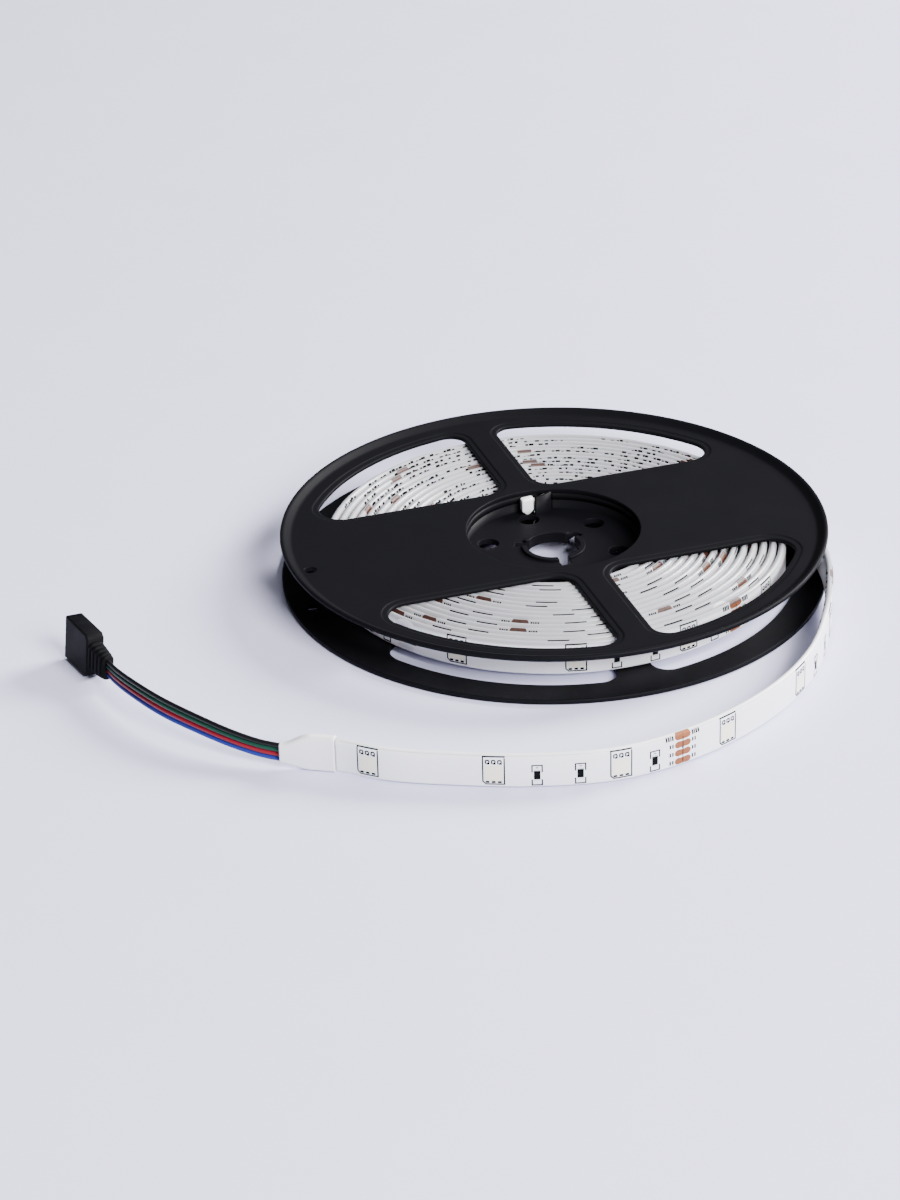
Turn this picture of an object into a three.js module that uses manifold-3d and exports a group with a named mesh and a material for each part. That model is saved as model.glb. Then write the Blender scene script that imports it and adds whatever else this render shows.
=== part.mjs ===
// LED strip light reel: five metres of silicone-coated RGB strip wound on a two-part plastic reel.
// Millimetres, +Z up. The reel lies flat and the strip's free end comes out at the right,
// runs round the front on its edge and ends in a sleeve, four wires and a four-way connector.
import * as THREE from "three";
import { mergeVertices } from "three/addons/utils/BufferGeometryUtils.js";
import Module from "manifold-3d";

const wasm = await Module();
wasm.setup();

// Reel: flat plates, a rim that turns up on the upper flange, a hub with a web half way up.
const flangeRadius = 80;
const plateThickness = 1.45;
const rimWidth = 3.3;
const rimRise = 1.6;
const rimThickness = 1.5;
const edgeRounding = 0.5;
const hubRadius = 28.4;
const recessRadius = 25.4;
const webThickness = 1.8;
const webTop = 7;
const jointHeight = 9.8;
const spigotLength = 2;
const spigotWall = 1.2;
const fitClearance = 0.3;
const lathSegments = 72;

// Windows: a solid band runs across each flange, and a narrow spoke crosses it at right angles.
const bandAngle = 19.5;
const bandHalfWidth = 27.8;
const spokeHalfWidth = 5.3;
const windowRadius = 71.3;
const innerCornerRadius = 6.5;
const spokeCornerRadius = 5;
const tipCornerRadius = 7;
const cornerSteps = 5;
const windowArcSteps = 12;

// Arbor hole with three keyways, six sockets round it, and a small hole near the rim.
const arborRadius = 7.8;
const collarWall = 1.6;
const collarRise = 0.8;
const keywayReach = 11.6;
const keywayWidth = 3.1;
const keywayAngle = 50;
const socketRadius = 3.1;
const socketCircle = 19.4;
const socketAngle = 52;
const rimHoleRadius = 1.8;
const rimHoleInset = 6;
const rimHoleAngle = 199.5;
const holeSegments = 20;
const cutAllowance = 1;

// Strip: wound on edge, each turn a little clear of the next.
const stripWidth = 10;
const stripThickness = 2.15;
const stripSideClearance = 0.25;
const windingPitch = 2.46;
const windingTurns = 15.1;
const stepsPerTurn = 30;
const hubClearance = 0.3;
const bareWidth = 8.8;
const bareThickness = 1.2;

// Inner end: the strip passes through a slot in the hub wall and ends in a silicone cap.
const innerStartAngle = 104;
const windingStartAngle = 80;
const slotClearance = 0.45;
const capLength = 4;
const capThickness = 2.6;
const capOverhang = 0.5;
const capWallGap = 0.45;

// Free end: angle round the reel in degrees and distance of the strip's middle beyond the rim.
const tailPoints = [
  [30, -10.9],
  [15, -8],
  [0, -3.7],
  [-12, 0.58],
  [-20.9, 3.8],
  [-32.2, 9.6],
  [-44.2, 17.5],
  [-56.7, 25.4],
  [-70.6, 34],
  [-81.8, 39.9],
  [-92.6, 41.9],
  [-103.3, 43.8],
  [-111, 46.4],
  [-117.1, 47.4],
  [-123.3, 53],
];
const tailStep = 5.2;
const rimStepDown = 11.5;
const sleeveLift = 0.3;
const sleeveLiftLength = 28;

// Light units: one every 100 mm, three LEDs and three resistors in each.
const ledPitch = 100 / 3;
const ledSize = 5;
const ledThickness = 0.9;
const ledCount = 6;
const ledHeight = 4.4;
const resistorWidth = 1.6;
const resistorLength = 3.2;
const resistorThickness = 0.6;
const resistorPlaces = [61.3, 72.6, 92.8, 161.3, 172.6, 192.8];
const resistorHeight = 3.7;
const pocketClearance = 0.3;
const faceDepth = 0.08;

// Sleeve over the solder joint, wide on the strip and narrow on the wires.
const sleeveLength = 15.1;
const solderLength = 8;
const sleeveWall = 0.3;
const sleeveShoulder = 8.3;
const sleeveNeckLength = 1.5;
const sleeveNeckDrop = 0.7;
const sleeveNeckHeight = 6;
const sleeveNeckThickness = 2.5;

// Wires: route of the bundle's middle from the sleeve's mouth, then spacing between wires.
const wireDiameter = 1.3;
const wireGap = 0.3;
const wireSides = 8;
const wireSteps = 20;
const wireColours = ["black", "green", "red", "blue"];
const wireRoute = [
  [0, 0, 0, 1.36],
  [-5.8, 1.84, 0.34, 1.36],
  [-13.6, 5.2, 1.36, 1.42],
  [-23.3, 11.2, 2.5, 1.52],
  [-33.5, 19.6, 2.95, 1.58],
  [-42, 29.4, 2.7, 1.52],
  [-47.8, 37.6, 2.2, 1.42],
  [-50.6, 42.4, 2, 1.36],
];

// Connector: it stands on its narrow side, leaning a little, its axis along the heading.
const connectorHeading = 122;
const connectorLean = 6.4;
const connectorLength = 14.4;
const connectorHeight = 12.8;
const connectorThickness = 5.3;
const connectorCorner = 1.9;
const connectorBevel = 0.4;
const reliefLength = 8.2;
const reliefHeight = 9.1;
const reliefThickness = 5;
const reliefEndHeight = 7.8;
const reliefEndThickness = 3.8;
const ribCount = 4;
const ribDepth = 0.7;
const ribShare = 0.6;
const ribRoot = 0.5;
const pinCount = 4;
const pinPitch = 2.54;
const pinWidth = 0.64;
const pinDepth = 5.5;
const pinProud = 0.8;
const pinClearance = 0.3;

// Heights that follow from the sizes above.
const stripBase = plateThickness + stripSideClearance;
const upperUnderside = stripBase + stripWidth + stripSideClearance;
const upperTop = upperUnderside + plateThickness;
const rimTop = upperTop + rimRise;

// Surface finishes.
function finish(color, roughness, metalness = 0) {
  return new THREE.MeshStandardMaterial({ color, roughness, metalness });
}
const blackPlastic = finish(0x25262a, 0.45);
const whiteSilicone = finish(0xe9eaee, 0.35);
const creamLens = finish(0xe8e2d2, 0.3);
const chipBlack = finish(0x1c1c1e, 0.4);
const pinMetal = finish(0xd8c38a, 0.3, 1);
const wireFinishes = {
  black: finish(0x16171a, 0.4),
  green: finish(0x1f5a46, 0.4),
  red: finish(0xb5202c, 0.4),
  blue: finish(0x2f43a8, 0.4),
};

// Small helpers for plane geometry.
const radians = (degrees) => (degrees * Math.PI) / 180;

function polar(radius, degrees) {
  return new THREE.Vector2(
    radius * Math.cos(radians(degrees)),
    radius * Math.sin(radians(degrees)),
  );
}

function smooth(t) {
  const u = Math.min(Math.max(t, 0), 1);
  return u * u * (3 - 2 * u);
}

// Closed mesh to solid and back, for cuts and joins.
function toSolid(geometry) {
  const bare = geometry.clone();
  bare.deleteAttribute("normal");
  bare.deleteAttribute("uv");
  const merged = mergeVertices(bare, 1e-5);
  return new wasm.Manifold(
    new wasm.Mesh({
      numProp: 3,
      vertProperties: new Float32Array(merged.attributes.position.array),
      triVerts: new Uint32Array(merged.index.array),
    }),
  );
}

function toGeometry(solid) {
  const mesh = solid.getMesh();
  const geometry = new THREE.BufferGeometry();
  geometry.setAttribute("position", new THREE.BufferAttribute(mesh.vertProperties, 3));
  geometry.setIndex(new THREE.BufferAttribute(mesh.triVerts, 1));
  geometry.computeVertexNormals();
  return geometry;
}

function cut(geometry, cutters) {
  return toGeometry(cutters.reduce((solid, cutter) => solid.subtract(toSolid(cutter)), toSolid(geometry)));
}

function join(geometry, others) {
  return toGeometry(others.reduce((solid, other) => solid.add(toSolid(other)), toSolid(geometry)));
}

// A plan outline raised to a wall between two heights.
function prism(outline, bottom, top) {
  const shape = new THREE.Shape(outline);
  const geometry = new THREE.ExtrudeGeometry(shape, { depth: top - bottom, bevelEnabled: false });
  return geometry.translate(0, 0, bottom);
}

function roundPost(radius, centre, bottom, top) {
  const geometry = new THREE.CylinderGeometry(radius, radius, top - bottom, holeSegments);
  return geometry.rotateX(Math.PI / 2).translate(centre.x, centre.y, (bottom + top) / 2);
}

// A turned piece from a closed profile of [radius, height] points.
function turned(profile) {
  const points = profile.map(([radius, height]) => new THREE.Vector2(radius, height));
  points.push(points[0].clone());
  return new THREE.LatheGeometry(points, lathSegments).rotateX(Math.PI / 2);
}

// A box set upright in plan: length along the heading, thickness across it.
function standingBox(centre, heading, length, thickness, bottom, top) {
  return new THREE.BoxGeometry(length, thickness, top - bottom)
    .rotateZ(heading)
    .translate(centre.x, centre.y, (bottom + top) / 2);
}

// A skin over matching sections, each a ring of points, with both ends closed.
function loft(sections) {
  const count = sections[0].length;
  const positions = sections.flat().flatMap((point) => [point.x, point.y, point.z]);
  const faces = [];
  for (let row = 0; row + 1 < sections.length; row += 1) {
    for (let i = 0; i < count; i += 1) {
      const next = (i + 1) % count;
      const a = row * count + i;
      const b = row * count + next;
      faces.push(a, b + count, b, a, a + count, b + count);
    }
  }
  const last = (sections.length - 1) * count;
  for (let i = 1; i + 1 < count; i += 1) {
    faces.push(0, i, i + 1, last, last + i + 1, last + i);
  }
  const geometry = new THREE.BufferGeometry();
  geometry.setAttribute("position", new THREE.Float32BufferAttribute(positions, 3));
  geometry.setIndex(faces);
  geometry.computeVertexNormals();
  return geometry;
}

// An upright rectangle across a path: place and side direction in plan, then its size.
function uprightSection(place, side, thickness, bottom, top) {
  const half = side.clone().multiplyScalar(thickness / 2);
  const outer = place.clone().add(half);
  const inner = place.clone().sub(half);
  return [
    new THREE.Vector3(inner.x, inner.y, bottom),
    new THREE.Vector3(inner.x, inner.y, top),
    new THREE.Vector3(outer.x, outer.y, top),
    new THREE.Vector3(outer.x, outer.y, bottom),
  ];
}

// Points along an arc in plan, angles in radians, both ends included.
function arc(centreX, centreY, radius, from, to, steps) {
  return Array.from({ length: steps + 1 }, (_, i) => {
    const angle = from + ((to - from) * i) / steps;
    return new THREE.Vector2(centreX + radius * Math.cos(angle), centreY + radius * Math.sin(angle));
  });
}

// One window of a flange, in the quarter the two signs give: x along the band, y across it.
function windowOutline(alongSign, acrossSign) {
  const innerAlong = spokeHalfWidth + innerCornerRadius;
  const innerAcross = bandHalfWidth + innerCornerRadius;
  const tipAcross = bandHalfWidth + tipCornerRadius;
  const tipAlong = Math.sqrt((windowRadius - tipCornerRadius) ** 2 - tipAcross ** 2);
  const tipAngle = Math.atan2(tipAcross, tipAlong);
  const spokeAlong = spokeHalfWidth + spokeCornerRadius;
  const spokeAcross = Math.sqrt((windowRadius - spokeCornerRadius) ** 2 - spokeAlong ** 2);
  const spokeAngle = Math.atan2(spokeAcross, spokeAlong);
  const outer = arc(0, 0, windowRadius, tipAngle, spokeAngle, windowArcSteps);
  const quarter = [
    ...arc(innerAlong, innerAcross, innerCornerRadius, Math.PI, 1.5 * Math.PI, cornerSteps),
    ...arc(tipAlong, tipAcross, tipCornerRadius, -Math.PI / 2, tipAngle, cornerSteps),
    ...outer.slice(1, -1),
    ...arc(spokeAlong, spokeAcross, spokeCornerRadius, spokeAngle, Math.PI, cornerSteps),
  ];
  return quarter.map((point) =>
    new THREE.Vector2(alongSign * point.x, acrossSign * point.y).rotateAround(
      new THREE.Vector2(),
      radians(bandAngle),
    ),
  );
}

function windowCutters(bottom, top) {
  const cutters = [];
  for (const alongSign of [1, -1]) {
    for (const acrossSign of [1, -1]) {
      cutters.push(prism(windowOutline(alongSign, acrossSign), bottom, top));
    }
  }
  return cutters;
}

function rimHole(bottom, top) {
  return roundPost(rimHoleRadius, polar(flangeRadius - rimHoleInset, rimHoleAngle), bottom, top);
}

// Strip route in plan: through the hub wall, round the winding and out along the free end.
const windingInner = hubRadius + hubClearance + stripThickness / 2;
const capRadius = recessRadius - capWallGap - capThickness / 2;

function innerEndRoute() {
  const steps = 6;
  const points = [];
  for (let i = 0; i < steps; i += 1) {
    const share = i / steps;
    const angle = innerStartAngle + (windingStartAngle - innerStartAngle) * share;
    points.push(polar(capRadius + (windingInner - capRadius) * smooth(share), angle));
  }
  return points;
}

function windingRoute() {
  const steps = Math.round(windingTurns * stepsPerTurn);
  const points = [];
  for (let i = 0; i <= steps; i += 1) {
    const turns = (windingTurns * i) / steps;
    points.push(polar(windingInner + windingPitch * turns, windingStartAngle - 360 * turns));
  }
  return points;
}

const winding = windingRoute();
const freeEnd = tailPoints.map(([angle, beyondRim]) => polar(flangeRadius + beyondRim, angle));
const tailCurve = new THREE.CatmullRomCurve3(
  [...winding.slice(-3), ...freeEnd].map((point) => new THREE.Vector3(point.x, point.y, 0)),
  false,
  "centripetal",
);
tailCurve.arcLengthDivisions = 2000;
const tailCurveLength = tailCurve.getLength();

// Place, heading and outward side of the strip at a distance back from the wires' mouth.
function tailFrame(distanceFromMouth) {
  const share = 1 - distanceFromMouth / tailCurveLength;
  const point = tailCurve.getPointAt(share);
  const tangent = tailCurve.getTangentAt(share);
  const side = new THREE.Vector2(-tangent.y, tangent.x);
  return {
    place: new THREE.Vector2(point.x, point.y),
    side,
    heading: Math.atan2(tangent.y, tangent.x),
  };
}

// Height of the strip's lower edge: it steps down over the rim and lifts a little at the sleeve.
function tailBase(distanceFromMouth) {
  const { place } = tailFrame(distanceFromMouth);
  const beyondRim = place.length() - flangeRadius - stripThickness;
  const stepDown = stripBase * (1 - smooth(beyondRim / rimStepDown));
  const beforeSleeve = distanceFromMouth - sleeveLength;
  const lift = sleeveLift * smooth(1 - beforeSleeve / sleeveLiftLength);
  return stepDown + lift;
}

// Sections of the strip from its inner end to the solder joint.
function stripSections() {
  const sections = [];
  const route = [...innerEndRoute(), ...winding.slice(0, -3)];
  route.forEach((place, i) => {
    const before = route[Math.max(i - 1, 0)];
    const after = i + 1 < route.length ? route[i + 1] : winding[winding.length - 3];
    const tangent = after.clone().sub(before).normalize();
    const side = new THREE.Vector2(-tangent.y, tangent.x);
    sections.push(uprightSection(place, side, stripThickness, stripBase, stripBase + stripWidth));
  });
  const coatedLength = tailCurveLength - sleeveLength - fitClearance;
  const steps = Math.round(coatedLength / tailStep);
  for (let i = 0; i <= steps; i += 1) {
    const distance = tailCurveLength - (coatedLength * i) / steps;
    const { place, side } = tailFrame(distance);
    const base = tailBase(distance);
    sections.push(uprightSection(place, side, stripThickness, base, base + stripWidth));
  }
  for (const distance of [sleeveLength + fitClearance, solderLength]) {
    const { place, side } = tailFrame(distance);
    const middle = tailBase(distance) + stripWidth / 2;
    sections.push(
      uprightSection(place, side, bareThickness, middle - bareWidth / 2, middle + bareWidth / 2),
    );
  }
  return sections;
}

// A small part let into the strip's outer face, and the pocket that holds it.
function chipBox(distanceFromEnd, height, along, upright, outerDepth, innerDepth) {
  const distance = solderLength + distanceFromEnd;
  const { place, side, heading } = tailFrame(distance);
  const depth = (outerDepth + innerDepth) / 2;
  const centre = place.clone().add(side.clone().multiplyScalar(stripThickness / 2 - depth));
  const middle = tailBase(distance) + height;
  const thickness = innerDepth - outerDepth;
  return standingBox(centre, heading, along, thickness, middle - upright / 2, middle + upright / 2);
}

function chip(distanceFromEnd, height, along, upright, thickness) {
  return chipBox(distanceFromEnd, height, along, upright, faceDepth, faceDepth + thickness);
}

function chipPocket(distanceFromEnd, height, along, upright, thickness) {
  const wider = 2 * pocketClearance;
  const floor = faceDepth + thickness + pocketClearance;
  return chipBox(distanceFromEnd, height, along + wider, upright + wider, -stripThickness / 2, floor);
}

const ledPlaces = Array.from({ length: ledCount }, (_, i) => ledPitch * (i + 0.5));

function ledStrip() {
  const pockets = [
    ...ledPlaces.map((place) => chipPocket(place, ledHeight, ledSize, ledSize, ledThickness)),
    ...resistorPlaces.map((place) =>
      chipPocket(place, resistorHeight, resistorWidth, resistorLength, resistorThickness),
    ),
  ];
  return cut(loft(stripSections()), pockets);
}

// Cap on the strip's inner end, standing in the recess.
function capPlace() {
  const [end, next] = innerEndRoute();
  const tangent = next.clone().sub(end).normalize();
  const centre = end.clone().addScaledVector(tangent, -(capLength / 2 + fitClearance));
  return { centre, heading: tangent.angle() };
}

// Room in the hub for the strip's inner end and its cap.
function innerEndCutters(bottom, top) {
  const route = [...innerEndRoute(), ...winding.slice(0, 2)];
  const opening = stripThickness + 2 * slotClearance;
  const sections = route.map((place, i) => {
    const before = route[Math.max(i - 1, 0)];
    const after = route[Math.min(i + 1, route.length - 1)];
    const tangent = after.clone().sub(before).normalize();
    return uprightSection(place, new THREE.Vector2(-tangent.y, tangent.x), opening, bottom, top);
  });
  const { centre, heading } = capPlace();
  const wider = 2 * slotClearance;
  const room = standingBox(centre, heading, capLength + wider, capThickness + wider, bottom, top);
  return [loft(sections), room];
}

function innerEndCap() {
  const { centre, heading } = capPlace();
  const bottom = stripBase - capOverhang;
  const top = stripBase + stripWidth + capOverhang;
  return standingBox(centre, heading, capLength, capThickness, bottom, top);
}

// Upper flange: flat plate, turned-up rim and the short half of the hub with its spigot.
function upperFlange() {
  const rimStart = flangeRadius - rimWidth;
  const spigotOuter = recessRadius + spigotWall;
  const body = turned([
    [recessRadius, upperTop - edgeRounding],
    [recessRadius, jointHeight - spigotLength],
    [spigotOuter, jointHeight - spigotLength],
    [spigotOuter, jointHeight],
    [hubRadius, jointHeight],
    [hubRadius, upperUnderside],
    [rimStart + edgeRounding, upperUnderside],
    [flangeRadius - edgeRounding, rimTop - rimThickness],
    [flangeRadius, rimTop - rimThickness + edgeRounding],
    [flangeRadius, rimTop - edgeRounding],
    [flangeRadius - edgeRounding, rimTop],
    [flangeRadius - 2 * edgeRounding, rimTop],
    [rimStart, upperTop],
    [recessRadius + edgeRounding, upperTop],
  ]);
  return cut(body, [
    ...windowCutters(upperUnderside - plateThickness, rimTop),
    rimHole(upperUnderside - plateThickness, rimTop),
    ...innerEndCutters(webTop, upperUnderside),
  ]);
}

// Lower flange: flat plate, the long half of the hub, the web and the arbor collar.
function lowerFlange() {
  const webUnderside = webTop - webThickness;
  const rebateRadius = recessRadius + spigotWall + fitClearance;
  const rebateFloor = jointHeight - spigotLength - fitClearance;
  const collarRadius = arborRadius + collarWall;
  const body = turned([
    [arborRadius, webUnderside - collarRise],
    [collarRadius, webUnderside - collarRise],
    [collarRadius, webUnderside],
    [recessRadius, webUnderside],
    [recessRadius, edgeRounding],
    [recessRadius + edgeRounding, 0],
    [flangeRadius - edgeRounding, 0],
    [flangeRadius, edgeRounding],
    [flangeRadius, plateThickness - edgeRounding],
    [flangeRadius - edgeRounding, plateThickness],
    [hubRadius, plateThickness],
    [hubRadius, jointHeight - fitClearance],
    [rebateRadius, jointHeight - fitClearance],
    [rebateRadius, rebateFloor],
    [recessRadius, rebateFloor],
    [recessRadius, webTop],
    [collarRadius, webTop],
    [collarRadius, webTop + collarRise],
    [arborRadius, webTop + collarRise],
  ]);
  const keyways = [0, 1, 2].map((i) => {
    const angle = keywayAngle + 120 * i;
    const centre = polar(keywayReach / 2, angle);
    return standingBox(centre, radians(angle), keywayReach, keywayWidth, 0, jointHeight);
  });
  const sockets = [0, 1, 2, 3, 4, 5].map((i) =>
    roundPost(socketRadius, polar(socketCircle, socketAngle + 60 * i), 0, jointHeight),
  );
  return cut(body, [
    ...windowCutters(-plateThickness, stripBase + plateThickness),
    rimHole(-plateThickness, stripBase + plateThickness),
    ...keyways,
    ...sockets,
    ...innerEndCutters(plateThickness, jointHeight),
  ]);
}

// Sleeve: flat and tall round the strip's bare end, drawn in round the four wires.
function shrinkSleeve() {
  const middle = tailBase(sleeveLength) + stripWidth / 2;
  const fullHeight = stripWidth + 2 * sleeveWall;
  const fullThickness = stripThickness + 2 * sleeveWall;
  const stages = [
    [sleeveLength, 1],
    [sleeveShoulder, 1],
    [sleeveNeckLength, 0],
    [0, 0],
  ];
  const sections = stages.map(([distance, share]) => {
    const { place, side } = tailFrame(distance);
    const height = sleeveNeckHeight + (fullHeight - sleeveNeckHeight) * share;
    const thickness = sleeveNeckThickness + (fullThickness - sleeveNeckThickness) * share;
    const centre = middle - sleeveNeckDrop * (1 - share);
    return uprightSection(place, side, thickness, centre - height / 2, centre + height / 2);
  });
  const pocketEnd = solderLength - fitClearance;
  const pocketStages = [sleeveLength + cutAllowance, (sleeveLength + pocketEnd) / 2, pocketEnd];
  const pocket = pocketStages.map((distance) => {
    const { place, side } = tailFrame(distance);
    const half = bareWidth / 2 + fitClearance;
    return uprightSection(place, side, bareThickness + 2 * fitClearance, middle - half, middle + half);
  });
  return cut(loft(sections), [loft(pocket)]);
}

// Wires: four tubes one above the other, all on the bundle's route.
const wireMouth = (() => {
  const { place, heading } = tailFrame(0);
  const ahead = new THREE.Vector2(Math.cos(heading), Math.sin(heading)).multiplyScalar(wireGap);
  const at = place.clone().add(ahead);
  const height = tailBase(sleeveLength) + stripWidth / 2 - sleeveNeckDrop;
  return new THREE.Vector3(at.x, at.y, height);
})();

function wire(index) {
  const rank = (wireColours.length - 1) / 2 - index;
  const points = wireRoute.map(
    ([x, y, z, spacing]) =>
      new THREE.Vector3(wireMouth.x + x, wireMouth.y + y, wireMouth.z + z + rank * spacing),
  );
  const route = new THREE.CatmullRomCurve3(points, false, "centripetal");
  const ring = new THREE.Shape(
    Array.from({ length: wireSides }, (_, i) => polar(wireDiameter / 2, (360 * (i + 0.5)) / wireSides)),
  );
  return new THREE.ExtrudeGeometry(ring, { steps: wireSteps, extrudePath: route });
}

// Connector in its own frame: length along +X from the wires to the pins, height along +Z.
function connectorHousing() {
  const innerLength = connectorLength - 2 * connectorBevel;
  const innerHeight = connectorHeight - 2 * connectorBevel;
  const corner = connectorCorner - connectorBevel;
  const side = new THREE.Shape();
  side.moveTo(corner, -innerHeight / 2);
  side.lineTo(innerLength, -innerHeight / 2);
  side.lineTo(innerLength, innerHeight / 2);
  side.lineTo(corner, innerHeight / 2);
  side.lineTo(0, innerHeight / 2 - corner);
  side.lineTo(0, corner - innerHeight / 2);
  side.closePath();
  const block = new THREE.ExtrudeGeometry(side, {
    depth: connectorThickness - 2 * connectorBevel,
    bevelThickness: connectorBevel,
    bevelSize: connectorBevel,
    bevelSegments: 1,
  })
    .translate(connectorBevel, 0, connectorBevel - connectorThickness / 2)
    .rotateX(Math.PI / 2);
  const relief = strainRelief();
  const boreWidth = pinWidth + 2 * pinClearance;
  const boreFloor = connectorLength - pinDepth - pinClearance;
  const boreMouth = connectorLength + cutAllowance;
  const bores = pinRows((row) => bar(boreFloor, boreMouth, boreWidth, row));
  return cut(join(block, relief), bores);
}

// Ribs that shrink towards the wires, on a slimmer core.
function strainRelief() {
  const pitch = reliefLength / ribCount;
  const pieces = [];
  for (let i = 0; i < ribCount; i += 1) {
    const share = (i + 1) / ribCount;
    const height = reliefHeight + (reliefEndHeight - reliefHeight) * share;
    const thickness = reliefThickness + (reliefEndThickness - reliefThickness) * share;
    const from = i === 0 ? -ribRoot : pitch * i;
    pieces.push(roundedBar(from, pitch * (i + ribShare), height, thickness));
  }
  const coreHeight = reliefEndHeight - 2 * ribDepth;
  const coreThickness = reliefEndThickness - 2 * ribDepth;
  pieces.push(roundedBar(-ribRoot, reliefLength, coreHeight, coreThickness));
  return pieces;
}

// A bar with round top and bottom edges, running back from the housing.
function roundedBar(from, to, height, thickness) {
  const radius = thickness / 2;
  const straight = height / 2 - radius;
  const section = new THREE.Shape();
  section.absarc(0, straight, radius, 0, Math.PI);
  section.absarc(0, -straight, radius, Math.PI, 2 * Math.PI);
  return new THREE.ExtrudeGeometry(section, { depth: to - from, bevelEnabled: false, curveSegments: 5 })
    .translate(0, 0, from)
    .rotateX(Math.PI / 2)
    .rotateZ(-Math.PI / 2);
}

function pinRows(make) {
  return Array.from({ length: pinCount }, (_, i) => make((i - (pinCount - 1) / 2) * pinPitch));
}

// A square bar along the connector at one row's height.
function bar(from, to, width, row) {
  return new THREE.BoxGeometry(to - from, width, width).translate((from + to) / 2, 0, row);
}

function pin(row) {
  return bar(connectorLength - pinDepth, connectorLength + pinProud, pinWidth, row);
}

// Assembly.
const reel = new THREE.Group();

function add(parent, name, geometry, material) {
  const mesh = new THREE.Mesh(geometry, material);
  mesh.name = name;
  parent.add(mesh);
  return mesh;
}

const body = new THREE.Group();
reel.add(body);
add(body, "lower_flange", lowerFlange(), blackPlastic);
add(body, "upper_flange", upperFlange(), blackPlastic);
add(body, "led_strip", ledStrip(), whiteSilicone);
add(body, "inner_end_cap", innerEndCap(), whiteSilicone);
ledPlaces.forEach((place, i) => {
  add(body, `led_${i + 1}`, chip(place, ledHeight, ledSize, ledSize, ledThickness), creamLens);
});
resistorPlaces.forEach((place, i) => {
  const geometry = chip(place, resistorHeight, resistorWidth, resistorLength, resistorThickness);
  add(body, `resistor_${i + 1}`, geometry, chipBlack);
});
add(body, "shrink_sleeve", shrinkSleeve(), whiteSilicone);

const lead = new THREE.Group();
reel.add(lead);
wireColours.forEach((colour, i) => add(lead, `wire_${colour}`, wire(i), wireFinishes[colour]));

const connector = new THREE.Group();
const lastStep = wireRoute[wireRoute.length - 1];
const axis = polar(1, connectorHeading);
const gap = reliefLength + wireGap;
const lean = radians(connectorLean);
connector.position.set(
  wireMouth.x + lastStep[0] + axis.x * gap,
  wireMouth.y + lastStep[1] + axis.y * gap,
  (connectorHeight * Math.cos(lean) + connectorThickness * Math.sin(lean)) / 2,
);
connector.rotation.set(lean, 0, radians(connectorHeading), "ZYX");
lead.add(connector);
add(connector, "connector_housing", connectorHousing(), blackPlastic);
pinRows((row) => row).forEach((row, i) => add(connector, `pin_${i + 1}`, pin(row), pinMetal));

// The origin is under the middle of the reel and its strip, the lead apart.
reel.updateMatrixWorld(true);
const extent = new THREE.Box3().setFromObject(body, true);
const middle = extent.getCenter(new THREE.Vector3());
reel.position.set(-middle.x, -middle.y, -extent.min.z);

export default reel;
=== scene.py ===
import bisect
import math

import bmesh
import bpy
from bpy.props import FloatProperty, FloatVectorProperty, PointerProperty
from mathutils import Matrix, Vector
from mathutils.geometry import delaunay_2d_cdt


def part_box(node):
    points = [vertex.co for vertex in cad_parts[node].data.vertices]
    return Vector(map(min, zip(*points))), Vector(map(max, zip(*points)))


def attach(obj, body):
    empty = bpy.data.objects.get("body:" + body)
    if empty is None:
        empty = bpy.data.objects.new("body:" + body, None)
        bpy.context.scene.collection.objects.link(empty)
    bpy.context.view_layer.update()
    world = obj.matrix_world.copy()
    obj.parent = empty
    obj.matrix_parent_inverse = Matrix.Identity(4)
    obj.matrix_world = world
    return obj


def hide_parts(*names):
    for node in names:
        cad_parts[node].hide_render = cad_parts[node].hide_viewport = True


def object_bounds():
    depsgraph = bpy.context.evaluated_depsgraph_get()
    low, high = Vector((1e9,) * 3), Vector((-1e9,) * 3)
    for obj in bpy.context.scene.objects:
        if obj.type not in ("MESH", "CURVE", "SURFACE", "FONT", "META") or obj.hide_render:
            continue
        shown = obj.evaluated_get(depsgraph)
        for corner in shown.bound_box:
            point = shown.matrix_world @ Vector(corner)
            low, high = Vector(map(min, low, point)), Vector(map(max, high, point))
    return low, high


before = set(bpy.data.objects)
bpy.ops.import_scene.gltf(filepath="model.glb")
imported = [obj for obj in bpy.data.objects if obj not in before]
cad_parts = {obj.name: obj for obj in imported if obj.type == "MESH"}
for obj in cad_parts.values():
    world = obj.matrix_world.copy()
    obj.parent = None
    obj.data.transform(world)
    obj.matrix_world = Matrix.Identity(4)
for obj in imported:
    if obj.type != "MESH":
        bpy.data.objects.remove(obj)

bl_info = {
    "name": "Strip Reel Maker",
    "version": (1, 0, 0),
    "blender": (4, 5, 0),
    "location": "3D View > Sidebar > Strip Reel",
    "description": "Builds a reel of silicone-coated LED strip with its wires and connector",
    "category": "Object",
}

# The box of the solids, and the reel's axis, straight from the loaded frame.
CAD_BOX = [list(corner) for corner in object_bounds()]
FLANGE_LOW, FLANGE_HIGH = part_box("upper_flange")
AXIS = ((FLANGE_LOW + FLANGE_HIGH) / 2).xy
MM = 0.001

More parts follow.
